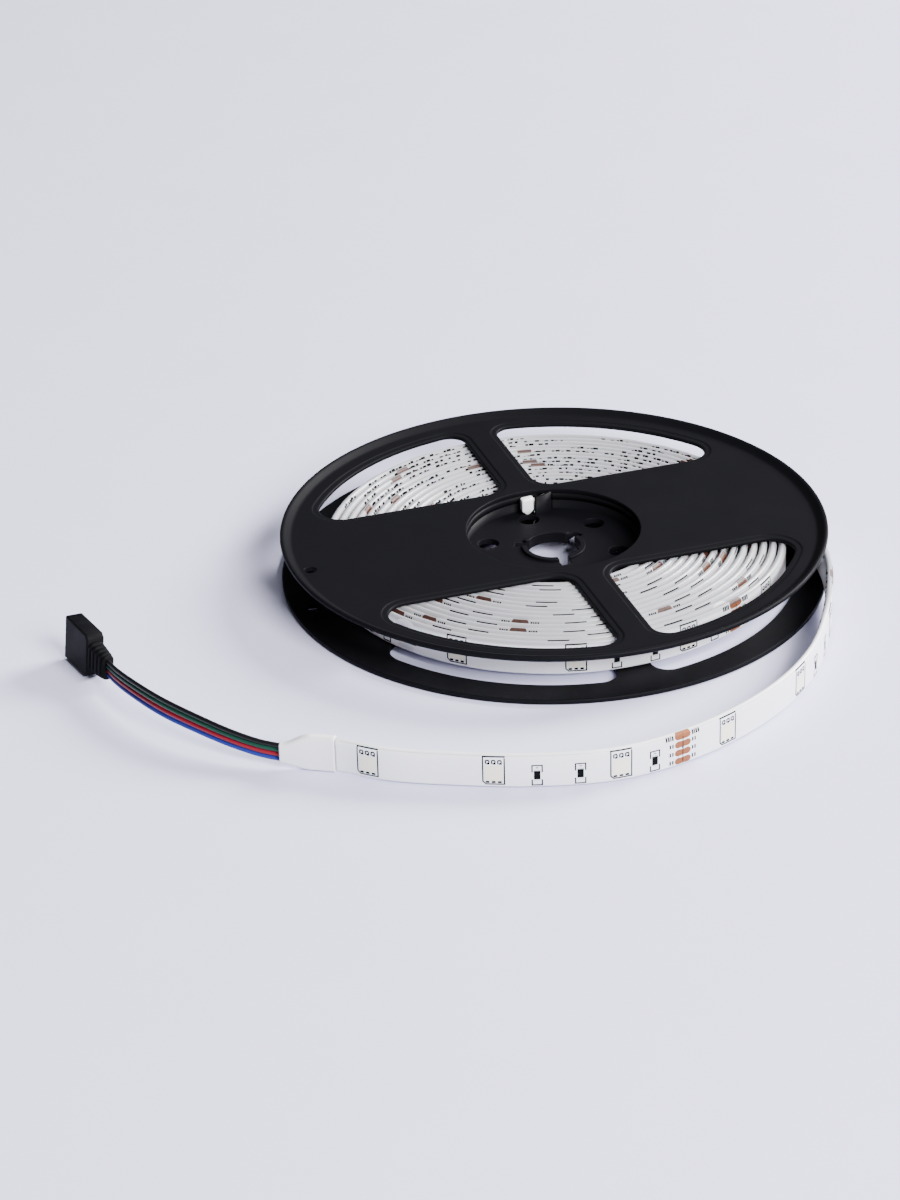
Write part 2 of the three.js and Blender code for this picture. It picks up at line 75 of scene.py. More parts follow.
# Reel, in millimetres, in a frame whose Z axis is the reel's own axis.
FLANGE_RADIUS = (FLANGE_HIGH.x - FLANGE_LOW.x) / 2 / MM
PLATE = 1.45
HUB_OUTER = 28.4
RECESS = 25.4
WEB_TOP, WEB_UNDERSIDE = 7.0, 5.2
HUB_JOINT, HUB_JOINT_GAP = 9.8, 0.02
ARBOR = 7.8
COLLAR_OUTER, COLLAR_RISE, COLLAR_ROOT = 9.4, 0.8, 0.3
KEYWAY_REACH, KEYWAY_WIDTH, KEYWAY_ANGLE = 11.6, 3.1, 50
SOCKET_COUNT, SOCKET_RADIUS, SOCKET_CIRCLE, SOCKET_ANGLE = 6, 3.1, 19.4, 52
RIM_HOLE_RADIUS, RIM_HOLE_INSET, RIM_HOLE_ANGLE = 1.8, 6, 199.5
# The web's edge, and the notch in it where the inner end and its cap stand.
WEB_GAP, NOTCH_RADIUS, NOTCH_FROM, NOTCH_TO = 0.01, 23.05, 95, 103
# Painted shade: a made-up black wall beside the slot that hides the strip's bend in the dark hub.
SHADE_WALL_POINTS, SHADE_WALL_STEP, SHADE_WALL_AHEAD, SHADE_WALL_THICKNESS, SHADE_WALL_RISE = 18, 0.29, 0.25, 0.8, 0.9

# Windows: turn of the solid band, half widths of band and spoke, and corner radii.
BAND_ANGLE, BAND_HALF, SPOKE_HALF = 19.5, 27.8, 5.3
WINDOW_RADIUS = 71.3
INNER_CORNER, SPOKE_CORNER, TIP_CORNER = 6.5, 5.0, 7.0

# The upper flange's rim: offset from its edge, with the height over the top face, then the
# last rows with the height over the underside.
RIM_OVER = (
    (-3.65, 0), (-3.45, 0), (-3.1, 0.08), (-2.7, 0.32), (-1.6, 1.15), (-1.25, 1.42),
    (-0.95, 1.56), (-0.68, 1.6), (-0.4, 1.55), (-0.16, 1.38), (-0.03, 1.15), (0, 0.85),
    (-0.03, 0.6), (-0.18, 0.34), (-0.45, 0.1), (-0.75, -0.13),
)
RIM_UNDER = ((-2.4, 0.2), (-2.8, 0.04), (-3.1, 0), (-3.4, 0))

# Strip and winding.
STRIP_HEIGHT, STRIP_THICKNESS, STRIP_BASE = 10.0, 2.15, 1.7
RIDGE_RISE = 1.6
WINDING_PITCH, WINDING_TURNS, WINDING_START = 2.46, 15.1, 80
WINDING_INNER = HUB_OUTER + 0.3 + STRIP_THICKNESS / 2
WINDING_SAMPLES = 1350
INNER_START, INNER_HASTE, INNER_SAMPLES = 104, 1.2, 24
SLOT_CLEARANCE = 0.45
SLOT_POINTS, SLOT_STEP = 200, 0.12
# Where the outer turns have sprung out a little: middle, half spread, first radius, rate.
LOOSE_ANGLE, LOOSE_SPREAD, LOOSE_FROM, LOOSE_SLOPE = -9, 46, 48, 0.125
CAP_LENGTH, CAP_THICKNESS, CAP_OVERHANG, CAP_GAP = 4.0, 2.6, 0.5, 0.3
CAP_RADIUS = RECESS - SLOT_CLEARANCE - CAP_THICKNESS / 2
UPPER_UNDERSIDE = STRIP_BASE + STRIP_HEIGHT + 0.25
UPPER_TOP = UPPER_UNDERSIDE + PLATE

# Free end: angle in degrees, then distance of the strip's middle beyond the rim.
TAIL = [
    (30, -10.9), (15, -8), (0, -3.7), (-12, 0.58), (-20.9, 3.8), (-32.2, 9.6), (-44.2, 17.5),
    (-56.7, 25.4), (-70.6, 34), (-81.8, 39.9), (-92.6, 41.9), (-103.3, 43.8), (-111, 46.4),
    (-117.1, 47.4), (-123.3, 53),
]
TAIL_SAMPLES = 20
RIM_STEP_DOWN = 11.5
FREE_LENGTH = 430

# Sleeve: its lift off the table, its full part and its narrow neck at the wires.
SLEEVE_LIFT, SLEEVE_LIFT_LENGTH = 0.3, 28
SLEEVE_LENGTH, SLEEVE_WALL, SLEEVE_SHOULDER = 15.1, 0.3, 8.6
SLEEVE_STEPS, SLEEVE_CORNER, SLEEVE_END_CORNER = 40, 1.0, 0.85
NECK_LENGTH, NECK_DROP, NECK_HEIGHT, NECK_THICKNESS = 0.1, 0.7, 6.0, 2.5
NECK_WALL, NECK_DEPTH, NECK_CORNER = 0.3, 1.2, 0.8
SOLDER_LENGTH = 8

# One unit of the strip: three LEDs, three resistors and a row of cut pads every 100 mm.
UNIT = 100
UNITS_BETWEEN_JOINTS = 5
END_MARGIN, PART_MARGIN = 14, 4
LED_PLACES = (UNIT / 6, UNIT / 2, UNIT * 5 / 6)
LED_HEIGHT, LED_SIZE, LED_LIFT = 4.4, 4.8, 0.05
RESISTOR_PLACES = (61.3, 72.6, 92.8)
RESISTOR_HEIGHT, RESISTOR_WIDE, RESISTOR_TALL, RESISTOR_LIFT = 3.9, 1.7, 2.6, 0.07
SOLDER_SHIFT, SOLDER_WIDE, SOLDER_TALL, SOLDER_LIFT = 1.5, 1.5, 0.5, 0.05
BLOCK_BEVEL = 0.12

# Marks under the coat: how proud they stand, then heights on the strip and places along it.
LIFT = 0.03
LED_FRAME_LOW, LED_FRAME_HIGH, LED_FRAME_HALF, LED_FRAME_CUT = 1.0, 9.55, 3.0, 0.9
# Plain strokes for one contact of an LED: from and to along the strip, then low and high.
CONTACT_SPACING = 1.6
CONTACT_STROKES = (
    (-0.62, -0.26, 7.3, 8.4), (-0.4, 0.45, 8.15, 8.55), (-0.2, 0.6, 7.1, 7.62),
    (0.24, 0.6, 7.5, 8.25), (-0.52, 0.5, 1.5, 2.05), (-0.25, 0.4, 2.0, 2.5),
)
BRACKET_HALF = 1.5
PAD_SHIFT = 1.3
PAD_ROWS = (9.0, 6.55, 4.05, 1.55)
PAD_HALF, PAD_FLAT, PAD_ROUND, PAD_WAIST, PAD_TOP_STRETCH = 1.0, 1.35, 1.2, 0.16, 1.2
PAD_LIFT, CUT_LIFT = LIFT * 1.5, LIFT * 1.9
# Plain strokes beside the pads: place and width, for the top row and for the others.
TOP_STROKES, TOP_STROKE_HEIGHT = ((0, 0.5), (0.68, 0.34), (1.2, 0.5), (1.9, 0.5)), 1.3
ROW_STROKES, ROW_STROKE_HEIGHT = ((0, 0.45), (0.8, 0.45)), 1.15
JOINT_HALF, JOINT_SWELL, JOINT_BAR = 2.9, 0.85, 3.6
BACK_DOTS, BACK_SPACING, BACK_LOW = 6, 1.5, 8.75
BOARD_EDGES, BOARD_LINE, BOARD_LIFT = (0.24, STRIP_HEIGHT - 0.5), 0.09, 0.025

# Wires: route of the bundle's middle from the sleeve's mouth, in metres, then the spacing.
WIRE_ROUTE = [
    (0, 0, 0, 0.00136), (-0.0058, 0.00184, 0.00034, 0.00136),
    (-0.0136, 0.0052, 0.00136, 0.00142), (-0.0233, 0.0112, 0.0025, 0.00152),
    (-0.0335, 0.0196, 0.00295, 0.00158), (-0.042, 0.0294, 0.0027, 0.00152),
    (-0.0478, 0.0376, 0.0022, 0.00142), (-0.0506, 0.0424, 0.002, 0.00136),
]
WIRE_NAMES = ("black", "green", "red", "blue")
WIRE_SAMPLES, WIRE_GAP = 5, 0.3
PIN_NAMES = [f"pin_{i}" for i in (1, 2, 3, 4)]

CONNECTOR_HEADING, CONNECTOR_LEAN = 122, 6.4
CONNECTOR_LENGTH, CONNECTOR_HEIGHT, CONNECTOR_THICKNESS = 14.4, 12.8, 5.3
CONNECTOR_CORNER, CONNECTOR_ROUNDING = 1.2, 0.5
RELIEF_LENGTH, RELIEF_HEIGHT, RELIEF_THICKNESS = 8.2, 9.1, 5.0
RELIEF_END_HEIGHT, RELIEF_END_THICKNESS, RELIEF_CORNER, RELIEF_STEPS = 7.8, 3.8, 1.9, 48
RIB_COUNT, RIB_DEPTH = 4, 0.7

# Camera in metres and radians, and what lights the table; then the surfaces' variation.
CAMERA_PLACE, CAMERA_LENS, CAMERA_SENSOR = (0, -0.83781, 0.45479), 98.97, 36
CAMERA_YAW, CAMERA_PITCH, CAMERA_ROLL = -0.03587, 0.49584, -0.02817
# Lamps: name, place, size in metres, watts, tint.
LAMPS = (
    ("key", (1.45, 0.95, 0.95), 0.8, 140, (1.0, 0.99, 1.0)),
    ("overhead", (0.3, 0.6, 1.6), 1.6, 9, (0.98, 0.98, 1.0)),
    ("front", (0.95, -1.25, 1.12), 0.9, 112, (1.0, 1.0, 1.0)),
)
ROOM_TONE, ROOM_STRENGTH = "#DCDCE8", 0.2
PATCH_SHARE, GLOSS_SPREAD = 25, 0.04
TABLE_HALF, TABLE_GAP = 4, 0.0002


def linear(hex_colour):
    """Linear RGBA of an sRGB hex colour."""
    channels = [int(hex_colour[i : i + 2], 16) / 255 for i in (1, 3, 5)]
    return [c / 12.92 if c <= 0.04045 else ((c + 0.055) / 1.055) ** 2.4 for c in channels] + [1]


def colour(hex_colour, name, description):
    """A colour that the user can change."""
    return FloatVectorProperty(
        name=name,
        description=description,
        subtype="COLOR",
        size=4,
        min=0,
        max=1,
        default=linear(hex_colour),
    )


def length(millimetres, name, description):
    """A length that the user can change."""
    return FloatProperty(
        name=name, description=description, unit="LENGTH", min=0, default=millimetres * MM
    )


def smooth(t):
    """Ease from 0 to 1 between 0 and 1."""
    u = min(max(t, 0), 1)
    return u * u * (3 - 2 * u)


def polar(radius, degrees):
    """Point in plan at a radius and an angle."""
    angle = math.radians(degrees)
    return (radius * math.cos(angle), radius * math.sin(angle))


def arc(centre, radius, start, end, steps):
    """Points along an arc, angles in radians, both ends included."""
    angles = [start + (end - start) * i / steps for i in range(steps + 1)]
    return [(centre[0] + radius * math.cos(a), centre[1] + radius * math.sin(a)) for a in angles]


def circle(radius, steps, centre=(0, 0)):
    """Points of a closed circle."""
    return arc(centre, radius, 0, 2 * math.pi, steps)[:-1]


def at_height(loop, height):
    """A loop in plan, lifted to a height."""
    return [(x, y, height) for x, y in loop]


def inside(point, loop):
    """Whether a point in plan lies inside a closed loop."""
    within = False
    for (ax, ay), (bx, by) in zip(loop, loop[1:] + loop[:1]):
        if (ay > point[1]) != (by > point[1]):
            within ^= point[0] < ax + (bx - ax) * (point[1] - ay) / (by - ay)
    return within


class Mould:
    """Collects the points and faces of one piece, in millimetres about the reel's axis."""

    def __init__(self):
        self.points = []
        self.faces = []

    def loop(self, points):
        """Add points and return their numbers."""
        start = len(self.points)
        self.points.extend(points)
        return list(range(start, len(self.points)))

    def skin(self, loops, closed=True):
        """Faces between neighbouring loops of equal count."""
        for first, second in zip(loops, loops[1:]):
            count = len(first)
            for i in range(count if closed else count - 1):
                j = (i + 1) % count
                self.faces.append((first[i], first[j], second[j], second[i]))

    def level(self, outer, holes=()):
        """Fill the level face between an outer loop and the holes in it."""
        loops = [outer, *holes]
        order = [number for loop in loops for number in loop]
        plan = [Vector(self.points[number][:2]) for number in order]
        edges = []
        for loop in loops:
            start = len(edges)
            edges += [(start + i, start + (i + 1) % len(loop)) for i in range(len(loop))]
        places, _, triangles, origins, _, _ = delaunay_2d_cdt(plan, edges, [], 0, 1e-7)
        outlines = [[self.points[number][:2] for number in loop] for loop in loops]
        for triangle in triangles:
            centre = sum((places[k] for k in triangle), Vector((0, 0))) / 3
            if inside(centre, outlines[0]) and not any(inside(centre, o) for o in outlines[1:]):
                self.faces.append([order[origins[k][0]] for k in triangle])

    def slab(self, outer, holes=()):
        """A plate: each boundary is a function of an offset, with its rows of offset and height.

        The first and last row of every boundary lie on the plate's two level faces.
        """
        ends = []
        for outline, rows in [outer, *holes]:
            loops = [self.loop(at_height(outline(offset), height)) for offset, height in rows]
            self.skin(loops)
            ends.append((loops[0], loops[-1]))
        self.level(ends[0][0], [first for first, _ in ends[1:]])
        self.level(ends[0][1], [last for _, last in ends[1:]])

    def prism(self, outline, top, bottom):
        """An upright wall of constant plan between two heights."""
        loops = [self.loop(at_height(outline, height)) for height in (top, bottom)]
        self.skin(loops)
        self.level(loops[0])
        self.level(loops[1])

    def sweep(self, loops):
        """Skin a row of loops and close both ends."""
        self.skin(loops)
        self.faces += [loops[0], loops[-1]]

    def piece(self, name, material, slot, closed=True, place=None):
        """Make the object, riding on the root body."""
        mesh = bpy.data.meshes.new(name)
        place = place or Matrix.Translation((AXIS.x, AXIS.y, 0)) @ Matrix.Scale(MM, 4)
        mesh.from_pydata([place @ Vector(point) for point in self.points], [], self.faces)
        if closed:
            shell = bmesh.new()
            shell.from_mesh(mesh)
            bmesh.ops.recalc_face_normals(shell, faces=shell.faces)
            shell.to_mesh(mesh)
            shell.free()
        mesh.shade_smooth()
        mesh.materials.append(material)
        obj = bpy.data.objects.new(name, mesh)
        bpy.context.scene.collection.objects.link(obj)
        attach(obj, "root")
        return obj


def edge_rows(top, bottom, rounding):
    """Rows round a plate's edge: level support, rounded top, wall, rounded bottom, support."""
    turn = [(1 - math.sin(a), 1 - math.cos(a)) for a in (0, 0.4, 0.8, 1.2, math.pi / 2)]
    over = [(-rounding * s, top - rounding * d) for s, d in turn]
    under = [(-rounding * s, bottom + rounding * d) for s, d in reversed(turn)]
    support = -rounding * 1.8
    return [(support, top), *over, *under, (support, bottom)]


def ring(radius, steps, centre=(0, 0)):
    """Circle as an outline; a positive offset moves it outwards from its middle."""
    return lambda offset: circle(radius + offset, steps, centre)


def window(along, across):
    """Outline of one window of a flange in the quarter the two signs give."""

    def outline(offset):
        inner = INNER_CORNER + offset
        tip = TIP_CORNER + offset
        end = SPOKE_CORNER + offset
        reach = WINDOW_RADIUS + offset
        tip_across = BAND_HALF + TIP_CORNER
        tip_along = math.sqrt((WINDOW_RADIUS - TIP_CORNER) ** 2 - tip_across**2)
        tip_angle = math.atan2(tip_across, tip_along)
        end_along = SPOKE_HALF + SPOKE_CORNER
        end_across = math.sqrt((WINDOW_RADIUS - SPOKE_CORNER) ** 2 - end_along**2)
        end_angle = math.atan2(end_across, end_along)
        corner = (SPOKE_HALF + INNER_CORNER, BAND_HALF + INNER_CORNER)
        quarter = [
            *arc(corner, inner, math.pi, 1.5 * math.pi, 12),
            *arc((tip_along, tip_across), tip, -math.pi / 2, tip_angle, 14),
            *arc((0, 0), reach, tip_angle, end_angle, 40)[1:-1],
            *arc((end_along, end_across), end, end_angle, math.pi, 10),
        ]
        turn = Matrix.Rotation(math.radians(BAND_ANGLE), 2)
        return [tuple(turn @ Vector((along * x, across * y))) for x, y in quarter]

    return outline


WINDOWS = [window(along, across) for along in (1, -1) for across in (1, -1)]
RIM_HOLE = ring(RIM_HOLE_RADIUS, 32, polar(FLANGE_RADIUS - RIM_HOLE_INSET, RIM_HOLE_ANGLE))


def arbor_outline(offset):
    """The arbor hole with its three keyways."""
    half = KEYWAY_WIDTH / 2 + offset
    radius = ARBOR + offset
    reach = KEYWAY_REACH + offset
    points = []
    spread = math.asin(half / radius)
    for i in range(3):
        heading = math.radians(KEYWAY_ANGLE + 120 * i)
        out = Vector((math.cos(heading), math.sin(heading)))
        side = Vector((-out.y, out.x))
        root = math.sqrt(radius**2 - half**2)
        for along, across in ((root, -half), (reach, -half), (reach, half), (root, half)):
            points.append(tuple(out * along + side * across))
        start = heading + spread
        points += arc((0, 0), radius, start, start + math.radians(120) - 2 * spread, 18)[1:-1]
    return points


def curve_through(points, samples):
    """Centripetal curve through points, with that many samples in each span."""
    lead = points[0] * 2 - points[1]
    trail = points[-1] * 2 - points[-2]
    path = [lead, *points, trail]
    result = []
    for a, b, c, d in zip(path, path[1:], path[2:], path[3:]):
        first, second, third = ((q - p).length ** 0.5 for p, q in ((a, b), (b, c), (c, d)))
        leaving = ((b - a) / first - (c - a) / (first + second) + (c - b) / second) * second
        arriving = ((c - b) / second - (d - b) / (second + third) + (d - c) / third) * second
        for i in range(samples):
            t = i / samples
            square = (c - b) * 3 - leaving * 2 - arriving
            cube = (b - c) * 2 + leaving + arriving
            result.append(b + leaving * t + square * t * t + cube * t**3)
    result.append(points[-1].copy())
    return result


def winding_point(turns):
    """The wound strip's middle after so many turns; its outer turns stand loose at one side."""
    radius = WINDING_INNER + WINDING_PITCH * turns
    degrees = WINDING_START - 360 * turns
    aside = abs((degrees - LOOSE_ANGLE + 180) % 360 - 180)
    radius += LOOSE_SLOPE * max(radius - LOOSE_FROM, 0) * smooth(1 - aside / LOOSE_SPREAD)
    return Vector(polar(radius, degrees))


class Route:
    """The strip's middle line in plan, measured from the mouth where the wires leave."""

    def __init__(self):
        inner = []
        for i in range(INNER_SAMPLES):
            share = i / INNER_SAMPLES
            radius = CAP_RADIUS + (WINDING_INNER - CAP_RADIUS) * smooth(share * INNER_HASTE)
            inner.append(Vector(polar(radius, INNER_START + (WINDING_START - INNER_START) * share)))
        step = 1 / (30 * WINDING_TURNS)
        last = [WINDING_TURNS * (1 - step * back) for back in (2, 1, 0)]
        wound = [winding_point(last[0] * i / WINDING_SAMPLES) for i in range(WINDING_SAMPLES)]
        tail = [Vector(polar(FLANGE_RADIUS + beyond, angle)) for angle, beyond in TAIL]
        free = curve_through([winding_point(turns) for turns in last] + tail, TAIL_SAMPLES)
        line = [*inner, *wound, *free]
        line.reverse()
        self.line = line
        self.reach = [0.0]
        for a, b in zip(line, line[1:]):
            self.reach.append(self.reach[-1] + (b - a).length)
        self.sides = []
        for i in range(len(line)):
            along = line[min(i + 1, len(line) - 1)] - line[max(i - 1, 0)]
            along.normalize()
            self.sides.append(Vector((along.y, -along.x)))
        self.total = self.reach[-1]

    def at(self, distance):
        """Place and outward side at a distance from the mouth."""
        i = min(max(bisect.bisect_right(self.reach, distance) - 1, 0), len(self.line) - 2)
        share = (distance - self.reach[i]) / (self.reach[i + 1] - self.reach[i])
        place = self.line[i].lerp(self.line[i + 1], share)
        return place, self.sides[i].lerp(self.sides[i + 1], share)

    def base(self, distance, place):
        """Height of the strip's lower edge there."""
        beyond = place.length - FLANGE_RADIUS - STRIP_THICKNESS
        down = STRIP_BASE * (1 - smooth(beyond / RIM_STEP_DOWN))
        lift = SLEEVE_LIFT * smooth(1 - (distance - SLEEVE_LENGTH) / SLEEVE_LIFT_LENGTH)
        return down + lift


ROUTE = Route()


def rounded_section(thickness, height, corner, steps=4):
    """Upright rounded rectangle as (across, up) points, up measured from its middle."""
    x, y = thickness / 2 - corner, height / 2 - corner
    quarter = math.pi / 2
    points = []
    for i, (sx, sy) in enumerate(((1, 1), (-1, 1), (-1, -1), (1, -1))):
        points += arc((sx * x, sy * y), corner, i * quarter, (i + 1) * quarter, steps)
    return points


def coat_section(corner, steps=7):
    """The coat's section: small corners at the bottom, one rounded ridge along the top."""
    half, rise = STRIP_THICKNESS / 2, STRIP_HEIGHT / 2
    points = []
    for i in range(2 * steps + 1):
        turn = math.pi * i / (2 * steps)
        points.append((half * math.cos(turn), rise - RIDGE_RISE + RIDGE_RISE * math.sin(turn)))
    x, y = half - corner, rise - corner
    points += arc((-x, -y), corner, math.pi, 1.5 * math.pi, 4)
    points += arc((x, -y), corner, 1.5 * math.pi, 2 * math.pi, 4)
    return points


def upright(place, side, middle, section):
    """A section stood on edge at a place of the route, its middle at a height."""
    return [(place.x + side.x * a, place.y + side.y * a, middle + u) for a, u in section]


def face_depth(height, corner):
    """How far the strip's rounded face lies from its flat face at that height."""
    over = (height - STRIP_HEIGHT) / RIDGE_RISE + 1
    if over > 0:
        return STRIP_THICKNESS / 2 * (1 - math.sqrt(max(1 - over**2, 0)))
    under = max(corner - height, 0)
    return corner - math.sqrt(max(corner**2 - under**2, 0))


def spread(bottom, top, rows):
    """Heights from bottom to top, evenly spaced along the face and up round the ridge."""
    shoulder = STRIP_HEIGHT - RIDGE_RISE

    def measure(height):
        over = min(max((height - shoulder) / RIDGE_RISE, 0), 1)
        return min(height, shoulder) + RIDGE_RISE * math.asin(over)

    low, high = measure(bottom), measure(top)
    for k in range(rows + 1):
        along = low + (high - low) * k / rows
        over = max(along - shoulder, 0) / RIDGE_RISE
        yield min(along, shoulder) + RIDGE_RISE * math.sin(over)


class Marks(Mould):
    """Thin marks on the strip's face, at places measured from the end of its board."""

    def __init__(self, corner):
        super().__init__()
        self.corner = corner

    def patch(self, start, end, low, high, lift=LIFT, face=1, step=0.8, rows=1):
        """One mark; its lower and upper edges are heights, or functions of the place."""
        columns = max(1, math.ceil((end - start) / step))
        lines = []
        for i in range(columns + 1):
            along = start + (end - start) * i / columns
            bottom = low(along) if callable(low) else low
            top = high(along) if callable(high) else high
            distance = SOLDER_LENGTH + along
            place, side = ROUTE.at(distance)
            base = ROUTE.base(distance, place)
            points = []
            for height in spread(bottom, top, rows):
                out = face * (STRIP_THICKNESS / 2 - face_depth(height, self.corner) + lift)
                points.append((place.x + side.x * out, place.y + side.y * out, base + height))
            lines.append(points)
        self.skin([self.loop(points) for points in lines], closed=False)

    def block(self, at, middle, wide, tall, lift):
        """A low body with softened edges standing a little proud of the strip's face."""
        left, right = at - wide / 2, at + wide / 2
        low, high = middle - tall / 2, middle + tall / 2
        bevel = BLOCK_BEVEL
        self.patch(left + bevel, right - bevel, low + bevel, high - bevel, lift, step=1)
        for start, end, bottom, top in (
            (left, right, high - bevel, high),
            (left, right, low, low + bevel),
            (left, left + bevel, low, high),
            (right - bevel, right, low, high),
        ):
            self.patch(start, end, bottom, top, lift * 0.5, step=1)


def add(tree, kind, inputs=None, **settings):
    """Add a node, with its settings, and its inputs as values or as links from sockets."""
    new = tree.nodes.new(kind)
    for key, value in settings.items():
        setattr(new, key, value)
    for key, value in (inputs or {}).items():
        if isinstance(value, bpy.types.NodeSocket):
            tree.links.new(value, new.inputs[key])
        else:
            new.inputs[key].default_value = value
    return new


def noise(tree, places, size_mm, **inputs):
    """Soft noise with a pattern of about that size."""
    inputs = {"Vector": places, "Scale": 1 / (size_mm * MM), **inputs}
    return add(tree, "ShaderNodeTexNoise", inputs).outputs["Fac"]


def blend(tree, share, first, second):
    """Mix two colours by a share."""
    inputs = {"Factor": share, "A": first, "B": second}
    return add(tree, "ShaderNodeMix", inputs, data_type="RGBA").outputs["Result"]


def surface(name, base, grain_mm, grain_depth_mm, rough, tone=0.03, **extra):
    """A moulded or drawn surface: fine relief, a little variation of tone and of gloss.

    grain_mm is the real size of the relief; the patches of tone are many times as wide.
    Extra settings go straight to the shader's sockets of those names.
    """
    material = bpy.data.materials.new(name)
    material.use_nodes = True
    tree = material.node_tree
    shader = tree.nodes["Principled BSDF"]
    places = add(tree, "ShaderNodeTexCoord").outputs["Object"]
    fine = noise(tree, places, grain_mm, Detail=3.0, Roughness=0.55)
    broad = noise(tree, places, grain_mm * PATCH_SHARE, Detail=2.0)
    limits = {
        "Value": broad,
        "From Min": 0.3,
        "From Max": 0.7,
        "To Min": rough - GLOSS_SPREAD,
        "To Max": rough + GLOSS_SPREAD,
    }
    gloss = add(tree, "ShaderNodeMapRange", limits)
    darker, lighter = (
        [min(c * share, 1) for c in base[:3]] + [1] for share in (1 - tone, 1 + tone)
    )
    shade = blend(tree, broad, darker, lighter)
    height = {"Height": fine, "Strength": 0.5, "Distance": grain_depth_mm * MM}
    relief = add(tree, "ShaderNodeBump", height)
    tree.links.new(shade, shader.inputs["Base Color"])
    tree.links.new(gloss.outputs["Result"], shader.inputs["Roughness"])
    tree.links.new(relief.outputs["Normal"], shader.inputs["Normal"])
    for socket, value in extra.items():
        shader.inputs[socket.replace("_", " ")].default_value = value
    return material


def paint_winding_shade(material, deep):
    """Paint shade in over the height of the wound strip's upper edges.

    This is painted shade: down between the turns they shade one another, so the coat's clear upper
    edge is darkened in the colour. The free end lies lower, flat to the light, and keeps its tone.
    """
    tree = material.node_tree
    shader = tree.nodes["Principled BSDF"]
    places = add(tree, "ShaderNodeTexCoord").outputs["Object"]
    height = add(tree, "ShaderNodeSeparateXYZ", {"Vector": places}).outputs["Z"]
    limits = {
        "Value": height,
        "From Min": (STRIP_BASE + STRIP_HEIGHT - RIDGE_RISE) * MM,
        "From Max": (STRIP_BASE + STRIP_HEIGHT - RIDGE_RISE * 0.4) * MM,
    }
    share = add(tree, "ShaderNodeMapRange", limits).outputs["Result"]
    below = shader.inputs["Base Color"].links[0].from_socket
    tree.links.new(blend(tree, share, below, deep), shader.inputs["Base Color"])


# Each real surface: its colour, its relief's size and depth in millimetres, its roughness, what
# else sets it apart, and the painted shade it takes on in the winding's upper edges, if any.
FINISHES = {
    # High-impact polystyrene, injection moulded in a lightly etched tool: satin, near black.
    "moulded_black_polystyrene": (
        ("plastic", 0.35, 0.012, 0.5),
        {"IOR": 1.59, "Specular_IOR_Level": 0.03},
    ),
    # Flexible PVC moulded over the wire ends: near black, its relief finer than the reel's.
    "moulded_black_pvc": (
        ("connector", 0.3, 0.01, 0.5),
        {"IOR": 1.54, "Specular_IOR_Level": 0.03},
    ),
    # White silicone extruded over the strip: glossy, milky, with slow waves from the die.
    # In the winding its upper edges are darkened to grey in the colour: painted shade between the
    # turns.
    "extruded_white_silicone": (
        ("silicone", 2.4, 0.02, 0.24),
        {"tone": 0.015, "IOR": 1.41, "Subsurface_Weight": 0.15, "Subsurface_Scale": 0.0008},
        "ridge",
    ),
    # White heat-shrink tube, recovered polyolefin: smooth, a little warmer than the silicone.
    "shrunk_white_polyolefin": (
        ("sleeve", 1.5, 0.03, 0.33),
        {"tone": 0.02, "IOR": 1.5, "Subsurface_Weight": 0.1, "Subsurface_Scale": 0.0006},
    ),
    # Screen-printed legend under the clear silicone: flat and nearly black.
    "printed_legend_ink": (
        ("ink", 0.2, 0.002, 0.6),
        {"tone": 0.05, "Specular_IOR_Level": 0.03},
    ),
    # The board's edge seen through the silicone's rounded side: a pale grey line.
    "board_edge_under_silicone": (("edge", 0.4, 0.002, 0.3), {"tone": 0.06, "IOR": 1.41}),
    # Copper cut pads with an organic finish, under the silicone: warm, dulled metal.
    # In the winding the pads' upper parts are darkened brown in the colour: painted shade between
    # the turns.
    "coated_pad_copper": (
        ("copper", 0.12, 0.004, 0.5),
        {"tone": 0.12, "Metallic": 0.2},
        "copper_painted_shade",
    ),
    # LED bodies, white polyphthalamide cups filled with clear resin: cream through the coat.
    "resin_filled_led_body": (("led", 0.9, 0.006, 0.26), {"tone": 0.05, "IOR": 1.47}),
    # Thick-film resistor, black glass overcoat on alumina: black, its gloss lost in the coat.
    "glazed_resistor_black": (("resistor", 0.1, 0.003, 0.5), {"Specular_IOR_Level": 0.05}),
    # Tin solder on the ends of the small parts: bright grey, lumpy where it froze.
    "frozen_tin_solder": (("solder", 0.25, 0.02, 0.38), {"tone": 0.1, "Metallic": 0.3}),
    # Brass header pins, drawn square and gold plated: bright yellow metal.
    "gold_plated_pin": (("pin", 0.08, 0.002, 0.24), {"Metallic": 1.0}),
    # Pale matt laminate under the object: an even, dull surface.
    "matt_pale_laminate": (("table", 1.2, 0.01, 0.6), {"tone": 0.004}),
}
# PVC wire insulation, extruded: satin, with faint draw lines along it.
for wire_name in WIRE_NAMES:
    FINISHES["extruded_pvc_" + wire_name] = (
        ("wire_" + wire_name, 0.5, 0.006, 0.4),
        {"tone": 0.05, "Specular_IOR_Level": 0.25},
    )


def finish(tones, name):
    """The material of that name, made once and then shared."""
    made = bpy.data.materials.get(name)
    if not made:
        (tone, grain, depth, rough), extra, *deep = FINISHES[name]
        made = surface(name, getattr(tones, tone), grain, depth, rough, **extra)
        if deep:
            paint_winding_shade(made, getattr(tones, deep[0]))
    return made


class StripReelSizes(bpy.types.PropertyGroup):
    """Sizes of the rounded edges, the coat and the printed lines."""

    edge_rounding: length(0.4, "Edge rounding", "Radius of the flanges' moulded edges")
    ledge_width: length(1.9, "Window ledge", "Width of the shallow ledge round each window")
    ledge_depth: length(0.22, "Ledge depth", "How far that ledge lies below the flange's face")
    coat_corner: length(0.85, "Coat corner", "Corner radius of the silicone coat's section")
    line_width: length(0.36, "Printed line", "Width of the printed lines under the coat")
    wire_diameter: length(1.3, "Wire diameter", "Outside diameter of each wire")


